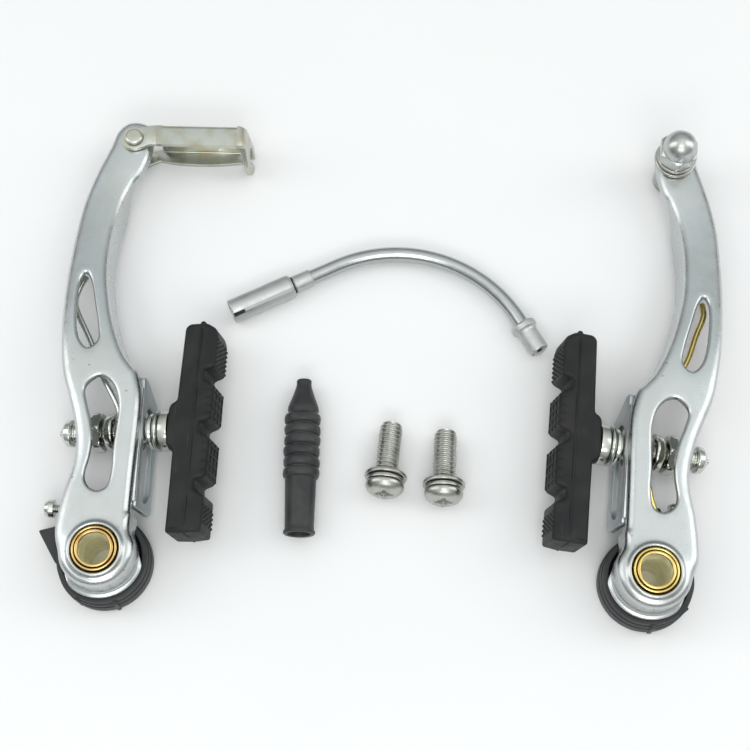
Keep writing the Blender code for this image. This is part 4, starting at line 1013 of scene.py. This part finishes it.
# ---- fixing bolts ----
def fixing_bolt(tag):
    """Screw with a domed head, a split spring washer and a flat washer, lying on its rim."""
    x, y, lean = BOLTS[tag]
    tilt = math.degrees(math.atan2(WASHER_R - STUD_R, BOLT_THREAD + 1.0))
    down = kit_frame(x, y, WASHER_R + GAP, 90 - lean) @ Matrix.Rotation(math.radians(tilt), 4, "X")
    body = tag + "_bolt"
    bm = threaded(STUD_R, 1.15, 0.55, -0.6, BOLT_THREAD)

    def recess(radius, angle, z):
        """Widen the middle of the head into a four-armed recess."""
        arms = 0.5 + 0.5 * math.cos(4 * angle)
        return radius * (1 + 0.55 * arms ** 3) if radius < 2.4 and z < -2.6 else radius

    head = [(0.0, -2.5), (1.1, -2.6), (1.35, -4.0), (1.75, -4.55), (2.5, -4.5), (3.3, -4.3), (4.0, -3.9),
            (4.6, -3.3), (4.95, -2.6), (5.05, -2.0), (5.0, -1.65), (4.7, -1.6), (2.9, -1.6), (2.9, -0.2),
            (0.0, -0.2)]
    join(bm, turned(head, 72, radius_at=recess))
    piece(tag + "_screw_with_head", bm, down, "dull", body, [tag + "_fixing_bolt"], 75)
    spring = [(3.3, -1.3), (4.85, -1.3), (4.95, -1.1), (4.95, -0.5), (4.85, -0.3), (3.3, -0.3)]
    piece(tag + "_split_ring", lathe(spring, 0.15, 56), down, "dull", body,
          [tag + "_fixing_bolt_spring_washer"])
    flat = [(3.3, 0.0), (WASHER_R, 0.0), (WASHER_R, 1.0), (3.3, 1.0)]
    piece(tag + "_flat_ring", lathe(flat, 0.3, 72), down, "dull", body,
          [tag + "_fixing_bolt_flat_washer"])


# ---- stage ----
def floor():
    bm = bmesh.new()
    bmesh.ops.create_grid(bm, x_segments=4, y_segments=4, size=1.6)
    mesh = bpy.data.meshes.new("table")
    bm.to_mesh(mesh)
    bm.free()
    ob = bpy.data.objects.new("table", mesh)
    bpy.context.scene.collection.objects.link(ob)
    mat, tree, shader = new_material("table_white", 0.9, 0.0, specular=0.1)
    tint = ramp(tree, noise(tree, 60.0), ((0.3, 0.80), (0.7, 0.81)))
    tree.links.new(tint, shader.inputs["Base Color"])
    mesh.materials.append(mat)


def light(name, location, size, power):
    """Soft box turned to the frame's origin."""
    lamp = bpy.data.lights.new(name, "AREA")
    lamp.shape = "RECTANGLE"
    lamp.size, lamp.size_y = size
    lamp.energy = power
    ob = bpy.data.objects.new(name, lamp)
    ob.location = location
    ob.rotation_euler = (Vector((0, 0, 0)) - Vector(location)).to_track_quat("-Z", "Y").to_euler()
    bpy.context.scene.collection.objects.link(ob)


def studio():
    """Pale dome, darker towards the horizon, with soft boxes on both sides and in front."""
    world = bpy.data.worlds.new("studio")
    world.use_nodes = True
    tree = world.node_tree
    coord = tree.nodes.new("ShaderNodeTexCoord")
    split = tree.nodes.new("ShaderNodeSeparateXYZ")
    tree.links.new(coord.outputs["Generated"], split.inputs["Vector"])
    heights = ((0.0, 0.14), (0.12, 0.22), (0.5, 0.42), (0.78, (0.56, 0.61, 0.62)),
               (0.94, (0.86, 0.88, 0.87)), (1.0, 1.0))
    sky = ramp(tree, split.outputs["Z"], heights)
    tree.links.new(sky, tree.nodes["Background"].inputs["Color"])
    tree.nodes["Background"].inputs["Strength"].default_value = 1.3
    bpy.context.scene.world = world
    light("front_box", (0.0, -0.75, 0.75), (0.7, 0.25), 2.2)
    light("left_box", (-0.8, 0.1, 0.5), (0.45, 1.0), 2.2)
    light("right_box", (0.8, 0.1, 0.5), (0.45, 1.0), 2.2)
    light("top_box", (0.0, -0.35, 1.0), (0.4, 0.2), 1.4)


CAMERA_DISTANCE, CAMERA_ANGLE, CAMERA_LENS = 0.3951, 71.0, 70.776


def camera():
    cam = bpy.data.cameras.new("view")
    cam.lens = CAMERA_LENS
    cam.clip_start = 0.01
    ob = bpy.data.objects.new("view", cam)
    a = math.radians(CAMERA_ANGLE)
    ob.location = KIT + Vector((0, -math.cos(a), math.sin(a))) * CAMERA_DISTANCE
    ob.rotation_euler = (KIT - ob.location).to_track_quat("-Z", "Y").to_euler()
    bpy.context.scene.collection.objects.link(ob)
    bpy.context.scene.camera = ob


def build():
    for tag, side, toe in (("left", 1, 1.7), ("right", -1, 1.1)):
        arm, stud = arm_frame(tag, side), stud_frame(tag)
        arm_shell(tag, side, arm)
        pivot(tag, side, arm, housing_frame(tag))
        return_spring(tag, arm)
        slot_plate(tag, stud)
        stud_hardware(tag, stud)
        brake_pad(tag, stud, toe)
    link_bracket(pin_frame("left", 1))
    link_rivet(pin_frame("left", 1))
    cable_anchor(pin_frame("right", -1))
    guide_pipe()
    cable_boot()
    fixing_bolt("left")
    fixing_bolt("right")
    floor()
    studio()
    camera()
    bpy.context.scene.view_settings.view_transform = "Standard"


build()
